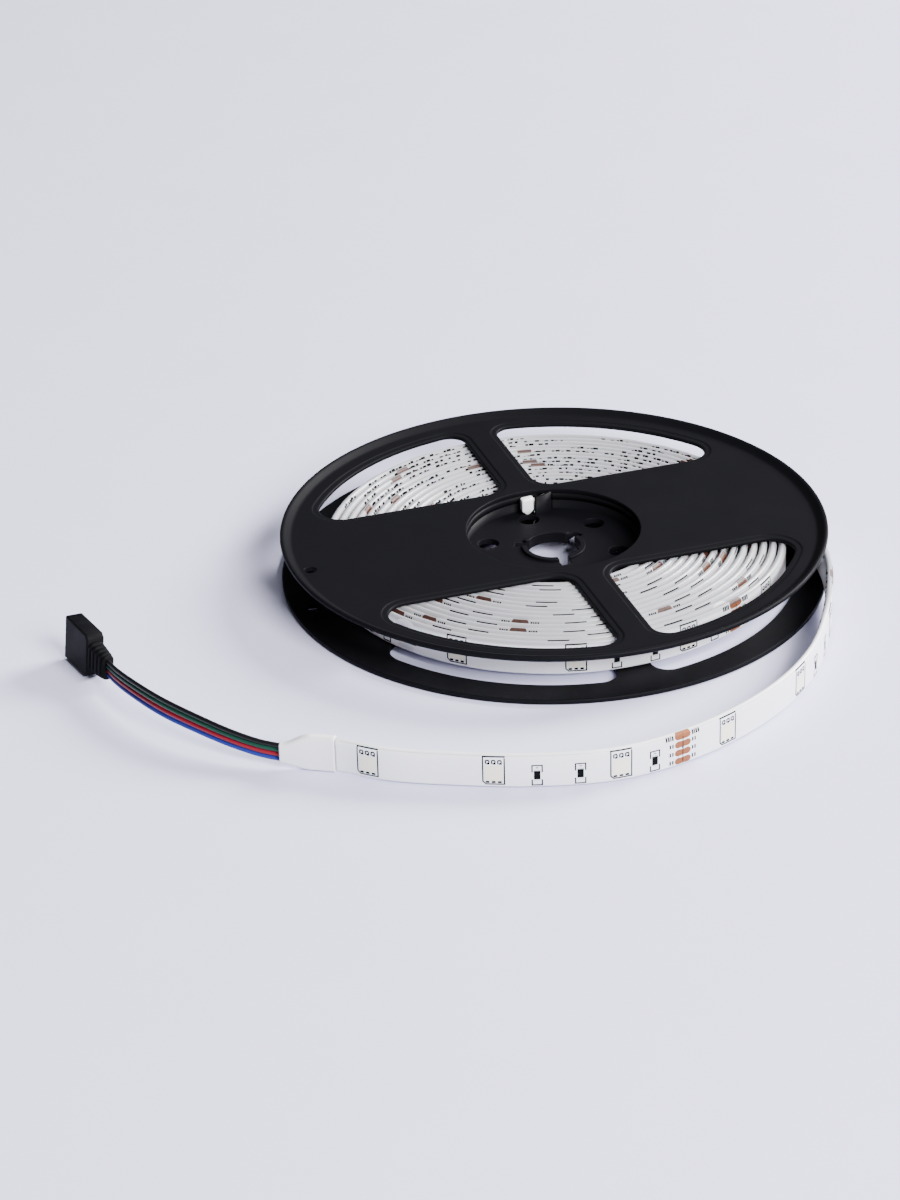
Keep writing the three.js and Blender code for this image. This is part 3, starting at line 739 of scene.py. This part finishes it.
class StripReelColours(bpy.types.PropertyGroup):
    """Colours of the reel, the strip, the wires and the table."""

    plastic: colour("#0D0D10", "Reel", "Moulded plastic of the two flanges")
    connector: colour("#0D0D0F", "Connector", "Plastic of the connector and its strain relief")
    silicone: colour("#E9E9ED", "Silicone", "Coat of the strip")
    # The next two colours are painted shade: the tones of the winding's upper edges between the
    # turns.
    ridge: colour("#9C9CA1", "Silicone edge", "The coat's clear upper edge, in the winding")
    copper_painted_shade: colour("#3A2018", "Deep pads", "Cut pads seen down between the turns")
    sleeve: colour("#EAE9EC", "Sleeve", "Heat-shrink sleeve over the solder joint")
    ink: colour("#070708", "Print", "Printed lines and marks")
    edge: colour("#B4B4BD", "Board edge", "The board's edge seen through the coat")
    copper: colour("#834A22", "Cut pads", "Copper pads where the strip may be cut")
    led: colour("#E6E2D2", "LED", "LED bodies")
    resistor: colour("#080809", "Resistor", "Resistor bodies")
    solder: colour("#D4D4D8", "Solder", "Soldered ends of the small parts")
    pin: colour("#D8C38A", "Pins", "Connector pins")
    wire_black: colour("#08090A", "Black wire", "Insulation of the top wire")
    wire_green: colour("#113A2C", "Green wire", "Insulation of the second wire")
    wire_red: colour("#7C1424", "Red wire", "Insulation of the third wire")
    wire_blue: colour("#222E80", "Blue wire", "Insulation of the lowest wire")
    table: colour("#D3D3EE", "Table", "The surface under the object")


class STRIPREEL_OT_stage(bpy.types.Operator):
    """Set up the camera, the soft lights and the pale table"""

    bl_idname = "strip_reel.stage"
    bl_label = "Stage"

    def execute(self, context):
        tones = context.scene.strip_reel_colours
        scene = context.scene

        eye = bpy.data.cameras.new("camera")
        eye.lens = CAMERA_LENS
        eye.sensor_width = CAMERA_SENSOR
        eye.clip_end = 20
        camera = bpy.data.objects.new("camera", eye)
        scene.collection.objects.link(camera)
        yaw, pitch, roll = CAMERA_YAW, CAMERA_PITCH, CAMERA_ROLL
        ahead = Vector(
            (math.sin(yaw) * math.cos(pitch), math.cos(yaw) * math.cos(pitch), -math.sin(pitch))
        )
        level = Vector((math.cos(yaw), -math.sin(yaw), 0))
        up = level.cross(ahead)
        right = level * math.cos(roll) + up * math.sin(roll)
        up = up * math.cos(roll) - level * math.sin(roll)
        turn = Matrix((right, up, -ahead)).transposed().to_4x4()
        camera.matrix_world = Matrix.Translation(CAMERA_PLACE) @ turn
        scene.camera = camera

        signs = ((-1, -1), (1, -1), (1, 1), (-1, 1))
        corners = [(x * TABLE_HALF, y * TABLE_HALF, 0) for x, y in signs]
        mesh = bpy.data.meshes.new("table")
        mesh.from_pydata(corners, [], [range(4)])
        mesh.materials.append(finish(tones, "matt_pale_laminate"))
        floor = bpy.data.objects.new("table", mesh)
        scene.collection.objects.link(floor)
        floor.location.z = CAD_BOX[0][2] - TABLE_GAP

        for name, place, size, power, tint in LAMPS:
            lamp = bpy.data.lights.new(name, "AREA")
            lamp.size = size
            lamp.energy = power
            lamp.color = tint
            light = bpy.data.objects.new(name, lamp)
            light.location = place
            light.rotation_euler = (-Vector(place)).to_track_quat("-Z", "Y").to_euler()
            scene.collection.objects.link(light)
        world = bpy.data.worlds.new("soft_room")
        world.use_nodes = True
        background = world.node_tree.nodes["Background"]
        background.inputs["Color"].default_value = linear(ROOM_TONE)
        background.inputs["Strength"].default_value = ROOM_STRENGTH
        scene.world = world
        return {"FINISHED"}


def mouth():
    """Where the wires start, just outside the sleeve, in metres."""
    place, side = ROUTE.at(0)
    outward = Vector((-side.y, side.x)) * WIRE_GAP
    base = ROUTE.base(SLEEVE_LENGTH, ROUTE.at(SLEEVE_LENGTH)[0])
    height = base + STRIP_HEIGHT / 2 - NECK_DROP
    x, y = place + outward
    return Vector((x * MM + AXIS.x, y * MM + AXIS.y, height * MM))


class STRIPREEL_OT_wires(bpy.types.Operator):
    """Lay the four wires from the sleeve to the connector"""

    bl_idname = "strip_reel.wires"
    bl_label = "Wires"

    def execute(self, context):
        sizes = context.scene.strip_reel_sizes
        tones = context.scene.strip_reel_colours
        start = mouth()
        for index, name in enumerate(WIRE_NAMES):
            rank = (len(WIRE_NAMES) - 1) / 2 - index
            points = [start + Vector((x, y, z + rank * gap)) for x, y, z, gap in WIRE_ROUTE]
            line = curve_through(points, WIRE_SAMPLES)
            curve = bpy.data.curves.new("wire_run_" + name, "CURVE")
            curve.dimensions = "3D"
            curve.bevel_depth = sizes.wire_diameter / 2
            curve.bevel_resolution = 5
            curve.use_fill_caps = True
            spline = curve.splines.new("POLY")
            spline.points.add(len(line) - 1)
            for knot, point in zip(spline.points, line):
                knot.co = (*point, 1)
            spline.use_smooth = True
            curve.materials.append(finish(tones, "extruded_pvc_" + name))
            wire = bpy.data.objects.new("wire_run_" + name, curve)
            context.scene.collection.objects.link(wire)
            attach(wire, "root")
            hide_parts("wire_" + name)
        return {"FINISHED"}


def connector_place():
    """From the connector's own millimetres to the frame: X runs from the wires to the pins."""
    lean = math.radians(CONNECTOR_LEAN)
    stands = CONNECTOR_HEIGHT * math.cos(lean) + CONNECTOR_THICKNESS * math.sin(lean)
    end = mouth() + Vector(WIRE_ROUTE[-1][:3])
    out = Vector((*polar(RELIEF_LENGTH + WIRE_GAP, CONNECTOR_HEADING), 0)) * MM
    place = Vector((end.x + out.x, end.y + out.y, stands / 2 * MM))
    turn = Matrix.Rotation(math.radians(CONNECTOR_HEADING), 4, "Z") @ Matrix.Rotation(lean, 4, "X")
    return Matrix.Translation(place) @ turn @ Matrix.Scale(MM, 4)


class STRIPREEL_OT_connector(bpy.types.Operator):
    """Build the connector housing with its ribbed strain relief, and finish its pins"""

    bl_idname = "strip_reel.connector"
    bl_label = "Connector"

    def execute(self, context):
        tones = context.scene.strip_reel_colours
        body = Mould()
        corner = CONNECTOR_CORNER
        half = CONNECTOR_HEIGHT / 2

        def side_outline(offset):
            """Seen from the broad side: the two corners at the wires are cut off."""
            reach, rise, cut = CONNECTOR_LENGTH + offset, half + offset, corner + offset * 0.41
            turns = [
                ((-offset + cut, -rise), (-offset, cut - rise)),
                ((-offset, rise - cut), (-offset + cut, rise)),
            ]
            return [*turns[0], *turns[1], (reach, rise), (reach, -rise)]

        thick = CONNECTOR_THICKNESS / 2
        flat = Mould()
        flat.slab((side_outline, edge_rows(thick, -thick, CONNECTOR_ROUNDING)))
        # The slab is level in its own frame; stand it up so that its height runs along Z.
        body.points = [(x, -z, y) for x, y, z in flat.points]
        body.faces = flat.faces

        stations = []
        for i in range(RELIEF_STEPS + 1):
            share = i / RELIEF_STEPS
            along = -RELIEF_LENGTH * share
            height = RELIEF_HEIGHT + (RELIEF_END_HEIGHT - RELIEF_HEIGHT) * share
            thickness = RELIEF_THICKNESS + (RELIEF_END_THICKNESS - RELIEF_THICKNESS) * share
            phase = (share * (RIB_COUNT + 0.3) - 0.35) * 2 * math.pi
            groove = RIB_DEPTH * smooth((0.2 - math.cos(phase)) / 0.9)
            end = 0.5 * smooth((share - 0.93) / 0.07)
            width = thickness - 2 * groove * 0.75 - end
            rise = height - 2 * groove - end
            section = rounded_section(width, rise, min(width * 0.49, RELIEF_CORNER), 5)
            stations.append(body.loop([(along, across, up) for across, up in section]))
        body.sweep(stations)
        pvc = finish(tones, "moulded_black_pvc")
        housing = body.piece("connector_body", pvc, "black_plastic", place=connector_place())
        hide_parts("connector_housing")
        for name in PIN_NAMES:
            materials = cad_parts[name].data.materials
            materials.clear()
            materials.append(finish(tones, "gold_plated_pin"))
        return {"FINISHED"}


def slot_sides():
    """The two sides of the hub wall's slot in plan, each from the recess to the winding."""
    gap = STRIP_THICKNESS / 2 + SLOT_CLEARANCE
    sides = ([], [])
    for i in range(SLOT_POINTS):
        distance = ROUTE.total - i * SLOT_STEP
        place, side = ROUTE.at(distance)
        for hand, points in zip((1, -1), sides):
            points.append(place + side * gap * hand)
    reach = HUB_OUTER - 0.2
    return [[p for p in points if RECESS < p.length < reach] for points in sides]


def hub_wall_outline():
    """Plan of the hub's wall, open where the strip's inner end passes through it."""
    outward, inward = slot_sides()

    def bearing(point):
        return math.atan2(point.y, point.x)

    outer_from, outer_to = bearing(outward[-1]), bearing(inward[-1])
    inner_from, inner_to = bearing(inward[0]), bearing(outward[0])
    around = 2 * math.pi
    outer = arc((0, 0), HUB_OUTER, outer_from, outer_from + (outer_to - outer_from) % around, 150)
    inner = arc((0, 0), RECESS, inner_from, inner_from - (inner_from - inner_to) % around, 150)
    return [*outer, *map(tuple, reversed(inward)), *inner, *map(tuple, outward)]


def slot_shade_wall_outline():
    """A low black wall beside the slot, in front of the strip where it bends into the hub: painted
    shade, a made-up piece that hides the strip's bend in the dark hub.
    """
    near, far = [], []
    aside = STRIP_THICKNESS / 2 + SLOT_CLEARANCE
    for i in range(SHADE_WALL_POINTS):
        place, side = ROUTE.at(ROUTE.total + SHADE_WALL_AHEAD - SHADE_WALL_STEP * i)
        near.append(tuple(place - side * aside))
        far.append(tuple(place - side * (aside + SHADE_WALL_THICKNESS)))
    return near + far[::-1]


def web_outline(offset):
    """The web's outer edge, drawn in where the strip's inner end and its cap stand.

    This edge is plain and needs no rounding, so it stays the same at every offset.
    """
    points = []
    for degrees in range(0, 360, 2):
        radius = NOTCH_RADIUS if NOTCH_FROM < degrees < NOTCH_TO else RECESS - WEB_GAP
        points.append(polar(radius, degrees))
    return points


def collar_outline(index):
    """One of the three arcs of the collar between the keyways."""

    def outline(offset):
        half = KEYWAY_WIDTH / 2 - offset
        start = math.radians(KEYWAY_ANGLE + 120 * index)
        end = start + math.radians(120)
        outer, inner = COLLAR_OUTER + offset, ARBOR - offset
        far, near = math.asin(half / outer), math.asin(half / inner)
        outward = arc((0, 0), outer, start + far, end - far, 20)
        return outward + arc((0, 0), inner, end - near, start + near, 20)

    return outline


def hole_rows(top, bottom, rounding):
    """Rows round a hole's edge: like a plate's edge, but turned to face inwards."""
    return [(-offset, height) for offset, height in edge_rows(top, bottom, rounding)]


class STRIPREEL_OT_flanges(bpy.types.Operator):
    """Mould the upper and lower flange with the hub between them"""

    bl_idname = "strip_reel.flanges"
    bl_label = "Flanges and hub"

    def execute(self, context):
        sizes = context.scene.strip_reel_sizes
        tones = context.scene.strip_reel_colours
        plastic = finish(tones, "moulded_black_polystyrene")
        rounding = sizes.edge_rounding / MM
        ledge = sizes.ledge_width / MM
        drop = sizes.ledge_depth / MM

        upper = Mould()
        top, under = UPPER_TOP, UPPER_UNDERSIDE
        rim_rows = [(out, top + rise) for out, rise in RIM_OVER]
        rim_rows += [(out, under + rise) for out, rise in RIM_UNDER]
        shelf = top - drop - 0.06
        window_rows = [
            (ledge + 0.8, top), (ledge + 0.35, top), (ledge + 0.16, top - drop * 0.14),
            (ledge + 0.04, top - drop * 0.45), (ledge - 0.06, top - drop * 0.82),
            (ledge - 0.22, top - drop * 0.98), (ledge - 0.4, top - drop),
            (rounding + 0.25, top - drop - 0.04), (rounding, shelf),
            (rounding * 0.45, shelf - rounding * 0.2),
            (rounding * 0.12, shelf - rounding * 0.55), (0, shelf - rounding),
            (0, under + 0.3), (0.06, under + 0.1), (0.22, under), (0.5, under),
        ]
        upper.slab(
            (ring(FLANGE_RADIUS, 240), rim_rows),
            [
                (ring(RECESS, 144), hole_rows(top, under, 0.35)),
                (RIM_HOLE, hole_rows(top, under, 0.15)),
                *((outline, window_rows) for outline in WINDOWS),
            ],
        )
        hub_plan = hub_wall_outline()
        upper.prism(hub_plan, under, HUB_JOINT + HUB_JOINT_GAP)
        flange = upper.piece("upper_flange_moulding", plastic, "black_plastic")
        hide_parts("upper_flange")

        lower = Mould()
        opening = hole_rows(PLATE, 0, 0.3)
        lower.slab(
            (ring(FLANGE_RADIUS, 240), edge_rows(PLATE, 0, rounding)),
            [
                (ring(RECESS, 144), opening),
                (RIM_HOLE, opening),
                *((outline, opening) for outline in WINDOWS),
            ],
        )
        lower.prism(hub_plan, HUB_JOINT, PLATE)
        web_edge = [(-WEB_GAP, WEB_TOP), (0, WEB_TOP)]
        web_edge += [(0, WEB_UNDERSIDE), (-WEB_GAP, WEB_UNDERSIDE)]
        soft = hole_rows(WEB_TOP, WEB_UNDERSIDE, 0.2)
        turn = 360 / SOCKET_COUNT
        middles = [polar(SOCKET_CIRCLE, SOCKET_ANGLE + turn * i) for i in range(SOCKET_COUNT)]
        sockets = [ring(SOCKET_RADIUS, 40, middle) for middle in middles]
        lower.slab(
            (web_outline, web_edge),
            [(arbor_outline, soft), *((socket, soft) for socket in sockets)],
        )
        for index in range(3):
            for high, low in (
                (WEB_TOP + COLLAR_RISE, WEB_TOP - COLLAR_ROOT),
                (WEB_UNDERSIDE + COLLAR_ROOT, WEB_UNDERSIDE - COLLAR_RISE),
            ):
                lower.slab((collar_outline(index), edge_rows(high, low, 0.22)))
        # Painted shade: the made-up black wall in front of the strip's bend into the hub.
        lower.prism(slot_shade_wall_outline(), UPPER_UNDERSIDE + SHADE_WALL_RISE, PLATE)
        flange = lower.piece("lower_flange_moulding", plastic, "black_plastic")
        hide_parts("lower_flange")
        return {"FINISHED"}


class STRIPREEL_OT_strip(bpy.types.Operator):
    """Wind the coated strip and run its free end out"""

    bl_idname = "strip_reel.strip"
    bl_label = "Coated strip"

    def execute(self, context):
        sizes = context.scene.strip_reel_sizes
        tones = context.scene.strip_reel_colours
        corner = sizes.coat_corner / MM
        section = coat_section(corner)
        strip = Mould()
        rings = []
        for distance in [SLEEVE_LENGTH + 0.3] + [r for r in ROUTE.reach if r > SLEEVE_LENGTH + 0.6]:
            place, side = ROUTE.at(distance)
            middle = ROUTE.base(distance, place) + STRIP_HEIGHT / 2
            rings.append(strip.loop(upright(place, side, middle, section)))
        strip.sweep(rings)
        silicone = finish(tones, "extruded_white_silicone")
        coat = strip.piece("silicone_strip", silicone, "white_silicone")
        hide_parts("led_strip")

        cap = Mould()
        place, side = ROUTE.at(ROUTE.total)
        along = (place - ROUTE.at(ROUTE.total - 1)[0]).normalized()
        centre = place + along * (CAP_LENGTH / 2 + CAP_GAP)
        high = STRIP_BASE + STRIP_HEIGHT + CAP_OVERHANG
        # Height, then the share of the full length and of the full thickness.
        levels = (
            (WEB_TOP + 0.02, 0.2, 0.5),
            (WEB_TOP + 0.25, 0.32, 0.75),
            (WEB_TOP + 1.5, 0.97, 0.97),
            (WEB_TOP + 1.7, 1, 1),
            (high - 0.5, 1, 1),
            (high - 0.15, 0.94, 0.9),
            (high, 0.82, 0.74),
        )
        loops = []
        for height, length_share, thickness_share in levels:
            half = CAP_LENGTH / 2 * length_share
            deep = CAP_THICKNESS / 2 * thickness_share
            shape = rounded_section(2 * half, 2 * deep, min(half, deep) * 0.4, 4)
            plan = [tuple(centre + along * a + side * b) for a, b in shape]
            loops.append(cap.loop(at_height(plan, height)))
        cap.sweep(loops)
        white = finish(tones, "shrunk_white_polyolefin")
        moulded = cap.piece("silicone_end_cap", white, "white_silicone")
        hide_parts("inner_end_cap")
        return {"FINISHED"}


class STRIPREEL_OT_sleeve(bpy.types.Operator):
    """Shrink the sleeve over the solder joint and the four wires"""

    bl_idname = "strip_reel.sleeve"
    bl_label = "Sleeve"

    def execute(self, context):
        tones = context.scene.strip_reel_colours
        sleeve = Mould()
        middle = ROUTE.base(SLEEVE_LENGTH, ROUTE.at(SLEEVE_LENGTH)[0]) + STRIP_HEIGHT / 2
        full_height = STRIP_HEIGHT + 2 * SLEEVE_WALL
        full_thickness = STRIP_THICKNESS + 2 * SLEEVE_WALL
        loops = []
        for i in range(SLEEVE_STEPS + 1):
            distance = SLEEVE_LENGTH * i / SLEEVE_STEPS
            share = smooth((distance - NECK_LENGTH) / (SLEEVE_SHOULDER - NECK_LENGTH))
            height = NECK_HEIGHT + (full_height - NECK_HEIGHT) * share
            thickness = NECK_THICKNESS + (full_thickness - NECK_THICKNESS) * share
            place, side = ROUTE.at(distance)
            centre = middle - NECK_DROP * (1 - share)
            shape = rounded_section(thickness, height, min(thickness * 0.48, SLEEVE_CORNER), 5)
            loops.append(sleeve.loop(upright(place, side, centre, shape)))
        place, side = ROUTE.at(SLEEVE_LENGTH)
        shape = rounded_section(STRIP_THICKNESS + 0.1, STRIP_HEIGHT + 0.1, SLEEVE_END_CORNER, 5)
        loops.append(sleeve.loop(upright(place, side, middle, shape)))
        bore = (NECK_THICKNESS - 2 * NECK_WALL, NECK_HEIGHT - 2 * NECK_WALL)
        inner = rounded_section(*bore, NECK_CORNER, 5)
        lip, deep = (
            sleeve.loop(upright(*ROUTE.at(distance), middle - NECK_DROP, inner))
            for distance in (0, NECK_DEPTH)
        )
        sleeve.sweep([deep, lip, *loops])
        white = finish(tones, "shrunk_white_polyolefin")
        tube = sleeve.piece("heat_shrink_sleeve", white, "white_silicone")
        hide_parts("shrink_sleeve")
        return {"FINISHED"}


def led_marks(ink, at, line):
    """Printed frame of one LED, one corner cut off, with strokes for its contacts."""
    low, high, half, cut = LED_FRAME_LOW, LED_FRAME_HIGH, LED_FRAME_HALF, LED_FRAME_CUT
    ink.patch(at - half, at + half, high - line, high)
    ink.patch(at - half + cut, at + half, low, low + line)
    ink.patch(at - half, at - half + line, low + cut, high, rows=10)
    ink.patch(at + half - line, at + half, low, high, rows=10)
    first = at - half

    def slant(s):
        return low + cut - (s - first)

    ink.patch(first, first + cut, slant, lambda s: slant(s) + line * 1.4, step=0.3)
    for i in (-1, 0, 1):
        middle = at + i * CONTACT_SPACING
        for start, end, bottom, top in CONTACT_STROKES:
            ink.patch(middle + start, middle + end, bottom, top)


def resistor_marks(ink, at, line):
    """Two printed brackets round a resistor, open in the middle."""
    half = BRACKET_HALF
    for low, high, edge in ((4.75, 7.0, 7.0 - line), (0.75, 2.6, 0.75)):
        ink.patch(at - half, at - half + line, low, high)
        ink.patch(at + half - line, at + half, low, high)
        ink.patch(at - half, at + half, edge, edge + line)
    ink.patch(at - 0.35, at + 0.35, 6.0, 6.25)


def pad_marks(ink, pads, at, wound):
    """Four cut pads across the cut line, each of two round lobes, and plain strokes beside."""
    at += PAD_SHIFT
    for row, height in enumerate(PAD_ROWS):
        waist = PAD_WAIST if row else 0

        def bulge(s, waist=waist):
            reach = abs(s - at)
            if reach <= PAD_FLAT:
                return PAD_HALF * (1 - waist + waist * reach / PAD_FLAT)
            t = min((reach - PAD_FLAT) / PAD_ROUND, 1)
            return PAD_HALF * math.sqrt(max(1 - t * t, 0.0))

        def low_edge(s, height=height, bulge=bulge):
            return height - bulge(s)

        def high_edge(s, height=height, bulge=bulge, stretch=1 if row else PAD_TOP_STRETCH):
            return min(height + bulge(s) * stretch, STRIP_HEIGHT - 0.01)

        reach = PAD_FLAT + PAD_ROUND
        for start, end in ((at - reach, at), (at, at + reach)):
            pads.patch(start, end, low_edge, high_edge, PAD_LIFT, step=0.25, rows=6)
        if wound and row == 0:
            # The top pad also shows over the ridge, seen down between the turns, where painted
            # shade darkens it.
            over = PAD_FLAT + PAD_ROUND * 0.7
            low = STRIP_HEIGHT - RIDGE_RISE
            pads.patch(at - over, at + over, low, STRIP_HEIGHT - 0.01, PAD_LIFT, -1, 0.5, 8)
        strokes, tall = TOP_STROKES, TOP_STROKE_HEIGHT
        if row:
            strokes, tall = ROW_STROKES, ROW_STROKE_HEIGHT
        beside = reach + 0.35
        for place, span in strokes:
            for first in (at - beside - place - span, at + beside + place):
                low = height - tall / 2 + (0.35 if first > at and row else 0)
                high = min(low + tall, 9.85)
                ink.patch(first, first + span, low, high, rows=3)
    ink.patch(at - 0.12, at + 0.12, 0.6, 9.9, CUT_LIFT, rows=12)
    ink.patch(at - 0.42, at + 0.42, lambda s: 4.9 + abs(s - at) * 1.9, 5.7, LIFT * 1.8, step=0.21)


def joint_marks(joints, ink, at):
    """Where two lengths of the strip were soldered together: four bright lumps on the pads."""

    def swell(s):
        return JOINT_SWELL * math.sqrt(max(1 - ((s - at) / JOINT_HALF) ** 2, 0.02))

    for height in PAD_ROWS:
        joints.patch(
            at - JOINT_HALF,
            at + JOINT_HALF,
            lambda s, height=height: height - swell(s),
            lambda s, height=height: min(height + swell(s), STRIP_HEIGHT - 0.06),
            LIFT * 2,
            step=0.3,
            rows=6,
        )
        ink.patch(at - JOINT_BAR, at + JOINT_BAR, height - 1.24, height - 1.06)


def back_marks(back, at, number):
    """Uneven dots along the top of the strip's back, where the parts' feet show through."""
    for k in range(BACK_DOTS):
        uneven = (number * 0.618 + k * 0.382) % 1
        first = at - 4.2 + BACK_SPACING * k + 0.5 * uneven
        span = 0.55 + 0.9 * ((uneven * 3.7) % 1)
        low = BACK_LOW + 0.4 * ((uneven * 7.3) % 1)
        if uneven > 0.16:
            back.patch(first, first + span, low, low + 0.7, face=-1, rows=4)


class STRIPREEL_OT_circuit(bpy.types.Operator):
    """Place the LEDs, resistors, copper pads and printed lines that show through the coat"""

    bl_idname = "strip_reel.circuit"
    bl_label = "Circuit and print"

    def execute(self, context):
        sizes = context.scene.strip_reel_sizes
        tones = context.scene.strip_reel_colours
        line = sizes.line_width / MM
        layers = [Marks(sizes.coat_corner / MM) for _ in range(7)]
        ink, pads, leds, chips, joints, back, edges = layers
        strip_end = ROUTE.total - SOLDER_LENGTH - END_MARGIN
        sleeve_end = SLEEVE_LENGTH - SOLDER_LENGTH + 1.2
        for unit in range(int(strip_end // UNIT) + 1):
            start = unit * UNIT
            if start > sleeve_end:
                if unit % UNITS_BETWEEN_JOINTS:
                    pad_marks(ink, pads, start, start > FREE_LENGTH)
                else:
                    joint_marks(joints, ink, start)
                back_marks(back, start, unit * 7)
            for number, at in enumerate(start + place for place in LED_PLACES):
                if at + PART_MARGIN <= strip_end:
                    led_marks(ink, at, line)
                    leds.block(at, LED_HEIGHT, LED_SIZE, LED_SIZE, LED_LIFT)
                    back_marks(back, at, unit * 3 + number)
            for number, at in enumerate(start + place for place in RESISTOR_PLACES):
                if at + PART_MARGIN <= strip_end:
                    resistor_marks(ink, at, line)
                    chips.block(at, RESISTOR_HEIGHT, RESISTOR_WIDE, RESISTOR_TALL, RESISTOR_LIFT)
                    back_marks(back, at, unit * 5 + number)
                    for middle in (RESISTOR_HEIGHT - SOLDER_SHIFT, RESISTOR_HEIGHT + SOLDER_SHIFT):
                        joints.block(at, middle, SOLDER_WIDE, SOLDER_TALL, SOLDER_LIFT)
        first, last = sleeve_end + 0.2, min(FREE_LENGTH, strip_end - 1)
        for low in BOARD_EDGES:
            edges.patch(first, last, low, low + BOARD_LINE, BOARD_LIFT, step=1.5)
        led_nodes = [f"led_{i}" for i in range(1, 7)]
        resistor_nodes = [f"resistor_{i}" for i in range(1, 7)]
        for marks, name, material, slot, nodes in (
            (ink, "printed_lines", "printed_legend_ink", "resistor_body", ()),
            (back, "marks_on_the_back", "printed_legend_ink", "resistor_body", ()),
            (pads, "copper_pads", "coated_pad_copper", "pin_metal", ()),
            (leds, "led_bodies", "resin_filled_led_body", "led_lens", led_nodes),
            (chips, "resistors", "glazed_resistor_black", "resistor_body", resistor_nodes),
            (joints, "solder_joints", "frozen_tin_solder", "pin_metal", ()),
            (edges, "board_edge_lines", "board_edge_under_silicone", "white_silicone", ()),
        ):
            piece = marks.piece(name, finish(tones, material), slot, closed=False)
            if nodes:
                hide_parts(*nodes)
        return {"FINISHED"}


STEPS = (
    STRIPREEL_OT_stage,
    STRIPREEL_OT_connector,
    STRIPREEL_OT_wires,
    STRIPREEL_OT_flanges,
    STRIPREEL_OT_strip,
    STRIPREEL_OT_sleeve,
    STRIPREEL_OT_circuit,
)


class STRIPREEL_PT_panel(bpy.types.Panel):
    """Lists the steps and the sizes and colours that may be changed"""

    bl_idname = "STRIPREEL_PT_panel"
    bl_label = "Strip Reel"
    bl_space_type = "VIEW_3D"
    bl_region_type = "UI"
    bl_category = "Strip Reel"

    def draw(self, context):
        layout = self.layout
        for step in STEPS:
            layout.operator(step.bl_idname)
        for group in (context.scene.strip_reel_sizes, context.scene.strip_reel_colours):
            box = layout.box()
            for key in group.__annotations__:
                box.prop(group, key)


CLASSES = (StripReelSizes, StripReelColours, *STEPS, STRIPREEL_PT_panel)


def register():
    """Add the classes and the two groups of settings."""
    for cls in CLASSES:
        bpy.utils.register_class(cls)
    bpy.types.Scene.strip_reel_sizes = PointerProperty(type=StripReelSizes)
    bpy.types.Scene.strip_reel_colours = PointerProperty(type=StripReelColours)


def unregister():
    """Take them away again."""
    del bpy.types.Scene.strip_reel_colours
    del bpy.types.Scene.strip_reel_sizes
    for cls in reversed(CLASSES):
        bpy.utils.unregister_class(cls)


def main():
    """Register the add-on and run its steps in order."""
    register()
    for step in STEPS:
        group, name = step.bl_idname.split(".")
        getattr(getattr(bpy.ops, group), name)()


if __name__ == "__main__":
    main()
